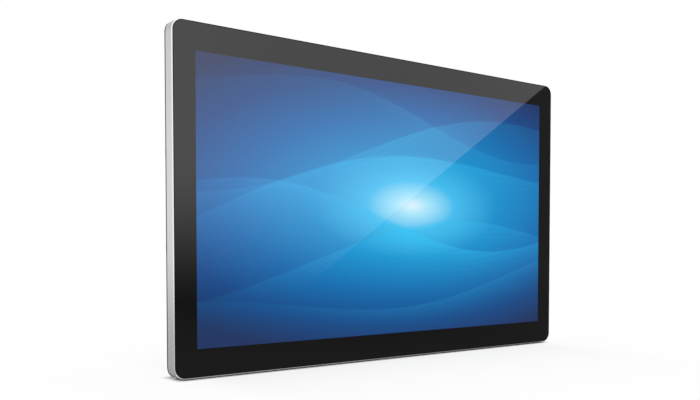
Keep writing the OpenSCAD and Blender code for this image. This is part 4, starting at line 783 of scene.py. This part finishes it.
run = np.linspace(0, 1, 10)
serial_low, serial_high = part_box("usb_sockets")
serial_middle = np.array([serial_low[0], serial_high[0]]) + np.array([6.6, -6.6]) * MM
serial_tall = serial_high[1] - serial_low[1]
serial_level = serial_low[1] + serial_tall * np.array([0.25, 0.75]) + 0.2 * MM
pins = np.array([-3.5, -1.0, 1.0, 3.5]) * MM
add_piece("usb_contacts",
          springs(serial_middle[:, None, None] + pins[None, None, :],
                  serial_level[None, :, None], serial_low[2],
                  -0.25 * np.sin(np.pi * run) + 0.05, 2.0 + 7.5 * run,
                  oval(0.5 * MM, 0.08 * MM, 8, 0.4)),
          gold, "socket_steel", "unit")
net_low, net_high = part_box("network_socket")
wires = (np.arange(8) - 3.5) * 1.02 * MM
add_piece("network_contacts",
          springs((net_low[0] + net_high[0]) / 2 + wires, net_low[1], net_low[2],
                  1.7 + 2.6 * run ** 1.3, 3.0 + 8.5 * run, oval(0.2 * MM, 0.2 * MM, 8, 1.0)),
          gold, "socket_steel", "unit")
video_low, video_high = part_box("video_socket")
strips = (np.arange(9) - 4) * 1.0 * MM
add_piece("video_contacts",
          springs((video_low[0] + video_high[0]) / 2 + strips[None, :],
                  video_low[1] + np.array([2.58, 3.82])[:, None] * MM, video_low[2],
                  0 * run, 1.6 + 5.6 * run, oval(0.2 * MM, 0.04 * MM, 8, 0.4)),
          gold, "socket_steel", "unit")

# %% [markdown]
# ## Symbols on the buttons
# The power button carries the usual ring with a bar, and the volume buttons a plus and a minus.
# They are printed a little proud, so each is a flat oval section carried along the line it draws.
# The plus has three strokes, because two crossed ones would cut through each other.

# %% Button symbols
ring_mm, stroke_mm, stroke_half_mm, stroke_points = 2.1, 1.6, 0.26, 33
stroke_proud, stroke_lift = 0.05 * MM, 0.02 * MM
print_grey = moulded_plastic("print_grey", (0.52, 0.52, 0.53), (0.60, 0.60, 0.61), 0.5, 0.2, 0.004)


def drawn_line(node, across, up, across_way, up_way):
    """Flat oval carried along a line on the button's face, given from the button's middle in mm."""
    low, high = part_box(node)
    face = high[1] + stroke_lift
    x = (low[0] + high[0]) / 2 + np.asarray(across) * MM
    z = (low[2] + high[2]) / 2 + np.asarray(up) * MM
    path = np.stack(np.broadcast_arrays(x, face, z), -1)
    side = np.stack(np.broadcast_arrays(across_way, 0.0 * x, up_way), -1)
    return carry(path, side, np.broadcast_to(Y_AXIS, path.shape),
                 oval(stroke_half_mm * MM, stroke_proud, 8, 0.7))[None]


turn = np.radians(np.linspace(125, 415, stroke_points))
rule = np.linspace(-stroke_mm, stroke_mm, stroke_points)
arm = np.linspace(stroke_half_mm, stroke_mm, stroke_points)
power_lines = [
    drawn_line("power_button", ring_mm * np.cos(turn), ring_mm * np.sin(turn),
               np.cos(turn), np.sin(turn)),
    drawn_line("power_button", 0 * rule, 1.5 + 0.75 * rule, 1.0, 0.0)]
plus_lines = [
    drawn_line("volume_up_button", rule, 0 * rule, 0.0, 1.0),
    drawn_line("volume_up_button", 0 * arm, arm, 1.0, 0.0),
    drawn_line("volume_up_button", 0 * arm, -arm, 1.0, 0.0)]
minus_line = drawn_line("volume_down_button", rule, 0 * rule, 0.0, 1.0)
add_piece("power_symbol", np.concatenate(power_lines), print_grey, "button_black", "power_key")
add_piece("plus_symbol", np.concatenate(plus_lines), print_grey, "button_black", "volume_up_key")
add_piece("minus_symbol", minus_line, print_grey, "button_black", "volume_down_key")

# %% [markdown]
# ## The floor
# The photograph has a white ground with a faint shadow under the slab. A lit white floor would
# come out grey, so this one is partly its own light for the camera and for reflections. That light
# is held back where the slab touches the floor, and a little in a soft pool around it. So the
# slab's shadow is partly painted: a drawn shape takes the glow away, and inside that shape the grey
# paper shows the real shade the lamps give it.

# %% Floor


def plane(name, corners):
    """Flat four-cornered sheet."""
    mesh = bpy.data.meshes.new(name)
    mesh.from_pydata(corners, [], [(0, 1, 2, 3)])
    thing = bpy.data.objects.new(name, mesh)
    bpy.context.scene.collection.objects.link(thing)
    return thing


def level_corners(x_low, x_high, y_low, y_high, z):
    """Corners of a level rectangle."""
    return [(x_low, y_low, z), (x_high, y_low, z), (x_high, y_high, z), (x_low, y_high, z)]


def seen_directly(tree):
    """1 for rays from the camera, from a mirror or through glass, else 0."""
    rays = tree.nodes.new("ShaderNodeLightPath")
    total = rays.outputs["Is Camera Ray"]
    for name in ("Is Glossy Ray", "Is Transmission Ray"):
        node = tree.nodes.new("ShaderNodeMath")
        node.operation = "MAXIMUM"
        tree.links.new(total, node.inputs[0])
        tree.links.new(rays.outputs[name], node.inputs[1])
        total = node.outputs[0]
    return total


foot_half_wide, foot_half_deep = cad_box[1][0] - 0.012, 0.0145
foot_middle_y = front_y + 0.001 + foot_half_deep


def distance_from_slab(finish, end_softness=1.0):
    """Distance along the floor from the slab's footprint, a rectangle, less steep past its ends."""
    past_x = finish.math("SUBTRACT", finish.math("ABSOLUTE", finish.axis("X")), foot_half_wide)
    past_x = finish.math("MULTIPLY", past_x, end_softness)
    off_y = finish.math("ABSOLUTE", finish.math("SUBTRACT", finish.axis("Y"), foot_middle_y))
    past_y = finish.math("SUBTRACT", off_y, foot_half_deep)
    squares = [finish.math("POWER", finish.math("MAXIMUM", past, 0.0), 2.0)
               for past in (past_x, past_y)]
    return finish.math("SQRT", finish.math("ADD", *squares))


floor_reach = 40.0
# Sizes of the painted shadow: a dark contact line along the slab and a soft pool in front of it.
contact_shadow_reach, contact_shadow_end_softness = 0.006, 0.45
shadow_pool_depth, shadow_pool_reach, shadow_pool_end_share = 0.19, 0.105, 0.3
floor = plane("floor", level_corners(-floor_reach, floor_reach, -floor_reach, floor_reach, 0))
paper = Finish("white_floor")
paper.set(Base_Color=(0.55, 0.55, 0.55), Roughness=0.9, Specular_IOR_Level=0.0)
# Painted shadow: the floor's own glow is taken away along the slab's footprint and, less, in a soft
# pool in front of it; there the paper's real shade shows.
painted_contact_shadow = paper.step(distance_from_slab(paper, contact_shadow_end_softness), 0.0, contact_shadow_reach)
shadow_pool_fading = paper.math("EXPONENT", paper.math("MULTIPLY", distance_from_slab(paper), -1 / shadow_pool_reach))
ends = paper.step(paper.math("ABSOLUTE", paper.axis("X")), 0.205, 0.265,
                  shadow_pool_depth, shadow_pool_end_share * shadow_pool_depth)
pool = paper.math("MULTIPLY", shadow_pool_fading, ends)
share = paper.math("MULTIPLY", painted_contact_shadow, paper.math("SUBTRACT", 1.0, pool))
glow = paper.tree.nodes.new("ShaderNodeEmission")
mixer = paper.tree.nodes.new("ShaderNodeMixShader")
paper.put(mixer.inputs[0], paper.math("MULTIPLY", seen_directly(paper.tree), share))
paper.put(mixer.inputs[1], paper.shader.outputs[0])
paper.put(mixer.inputs[2], glow.outputs[0])
paper.put(paper.tree.nodes["Material Output"].inputs["Surface"], mixer.outputs[0])
floor.data.materials.append(paper.material)
print("floor", 2 * floor_reach, "m wide, shadow pool", shadow_pool_depth, "deep")

# %% [markdown]
# ## The world and the lamps
# The background is plain white where it is seen or mirrored. As a light it is dimmer, so that pale
# surfaces don't clip, and three large soft lamps add a little direction to it. They light the
# object at a plain level, at which a colour comes out about as it is written.

# %% World and lamps
sky_level = 0.62
world = bpy.data.worlds.new("studio")
bpy.context.scene.world = world
world.use_nodes = True
sky = world.node_tree
backdrop = sky.nodes["Background"]
level = sky.nodes.new("ShaderNodeMapRange")
sky.links.new(seen_directly(sky), level.inputs["Value"])
level.inputs["To Min"].default_value = sky_level
level.inputs["To Max"].default_value = 1.0
backdrop.inputs["Color"].default_value = (1, 1, 1, 1)
sky.links.new(level.outputs[0], backdrop.inputs["Strength"])
bpy.context.scene.view_settings.view_transform = "Standard"


def soft_lamp(name, place, target, width, watts):
    """Square area lamp that looks at a point and shows in no reflection."""
    data = bpy.data.lights.new(name, "AREA")
    data.size = width
    data.energy = watts
    lamp = bpy.data.objects.new(name, data)
    lamp.location = place
    aim = np.array(target) - np.array(place)
    flat = math.hypot(aim[0], aim[1])
    lamp.rotation_euler = (math.atan2(flat, -aim[2]), 0, math.atan2(-aim[0], aim[1]))
    lamp.visible_glossy = False
    bpy.context.scene.collection.objects.link(lamp)
    print("lamp", name, watts, "W")


screen_middle = (0, 0, centre_z)
soft_lamp("key_left", (-1.6, -1.8, 1.7), screen_middle, 1.6, 22)
soft_lamp("fill_right", (1.8, -1.2, 1.2), screen_middle, 1.6, 9)
soft_lamp("top_back", (0.2, 1.5, 1.9), screen_middle, 1.8, 18)

# %% [markdown]
# ## The light panel
# The diagonal glare on the glass is the mirror image of a soft light panel that stands in front, to
# the right. A lamp can't have a slanted edge, so the panel is a sheet that glows above a slanted
# line and is seen in reflections alone. Its ends fade to the white of the world.

# %% Light panel


def only_mirrored(thing):
    """Leaves a studio card to reflections alone."""
    thing.visible_camera = False
    thing.visible_diffuse = False
    thing.visible_shadow = False
    thing.visible_transmission = False


def glowing_card(name, corners):
    """Card seen in reflections alone, with a finish to set its light."""
    card = plane(name, corners)
    only_mirrored(card)
    finish = Finish(name)
    light = finish.tree.nodes.new("ShaderNodeEmission")
    finish.put(finish.tree.nodes["Material Output"].inputs["Surface"], light.outputs[0])
    card.data.materials.append(finish.material)
    print("card", name)
    return finish, light.inputs["Strength"]


panel_y = -0.9
panel_left, panel_right, panel_top = -0.35, 1.9, 1.1
full_left, full_right, full_top = 0.15, 1.45, 0.75
slant_slope, slant_start = 0.6564, -0.3013
bright_start, bright_slope, bright_bend, unlit = 7.2, -5.9, 2.0, 0.66
shine, shine_light = glowing_card(
    "light_panel", [(panel_left, panel_y, 0.0), (panel_right, panel_y, 0.0),
                    (panel_right, panel_y, panel_top), (panel_left, panel_y, panel_top)])
slant = shine.math("MULTIPLY_ADD", shine.axis("X"), slant_slope, slant_start)
above = shine.step(shine.math("SUBTRACT", shine.axis("Z"), slant), -0.001, 0.002)
lift = shine.step(shine.axis("Z"), 0.0, 0.31)
across = shine.step(shine.axis("X"), 0.18, 1.37, smooth=False)
bend = shine.math("MULTIPLY_ADD", across, bright_bend, bright_slope)
bright = shine.math("MULTIPLY_ADD", bend, across, bright_start)
steady = shine.math("MULTIPLY_ADD", shine.math("MULTIPLY", above, lift), bright, unlit)
sides = shine.math("MULTIPLY", shine.step(shine.axis("X"), panel_left, full_left),
                   shine.step(shine.axis("X"), panel_right, full_right))
inside = shine.math("MULTIPLY", sides, shine.step(shine.axis("Z"), panel_top, full_top))
shine.put(shine_light,
          shine.math("MULTIPLY_ADD", inside, shine.math("SUBTRACT", steady, 1.0), 1.0))

# %% [markdown]
# ## Cards for the reflections
# Metal and glass look like what they mirror. The band would mirror an even white, so the studio has
# grey and pale cards on the floor and two that stand far away, as a photographer places them. They
# give the band its gradient and its darker lower corner, and they keep its upper corner grey, so
# that it stands out from the white background. They too are seen in reflections alone.

# %% Reflection cards
card_lift = 0.6 * MM
card_reach, card_edge = 3.0, cad_box[0][0] - 1.0 * MM
card_front = front_y + 3.0 * MM


def floor_card(name, x_low, x_high, y_low, y_high):
    """Card flat on the floor."""
    return glowing_card(name, level_corners(x_low, x_high, y_low, y_high, card_lift))


grey, grey_light = floor_card("grey_card_left", -card_reach, card_edge, -card_reach, card_reach)
grey.put(grey_light, grey.step(distance_from_slab(grey), 0.1, 2.8, 0.48, 0.94))
shade, shade_light = floor_card("shade_card_corner", card_edge, card_edge + 0.06, card_front, 0.1)
shade.put(shade_light, shade.step(shade.axis("X"), card_edge, card_edge + 0.008, 0.46, 0.22))
high_x, high_near, high_far, high_low, high_top = -2.4, 1.0, 8.0, 0.6, 3.0
dusk, dusk_light = glowing_card(
    "grey_card_high", [(high_x, high_near, high_low), (high_x, high_far, high_low),
                       (high_x, high_far, high_top), (high_x, high_near, high_top)])
dusk.put(dusk_light, dusk.step(dusk.axis("Z"), 0.75, 2.1, 1.0, 0.66, smooth=False))
back_half, back_top = 6.0, 8.0
haze, haze_light = glowing_card(
    "grey_card_back", [(-back_half, high_far, high_low), (back_half, high_far, high_low),
                       (back_half, high_far, back_top), (-back_half, high_far, back_top)])
haze.put(haze_light, haze.step(haze.axis("Z"), 0.75, 2.1, 1.0, 0.7, smooth=False))
pale, pale_light = floor_card("pale_card_front", card_edge, card_reach, -card_reach, card_front)
rightwards = pale.step(pale.axis("X"), -0.26, 0.30, 1.04, 0.58)
near_slab = pale.step(distance_from_slab(pale), 0.0, 0.02, 0.34, 1.0)
pale.put(pale_light, pale.math("MULTIPLY", rightwards, near_slab))
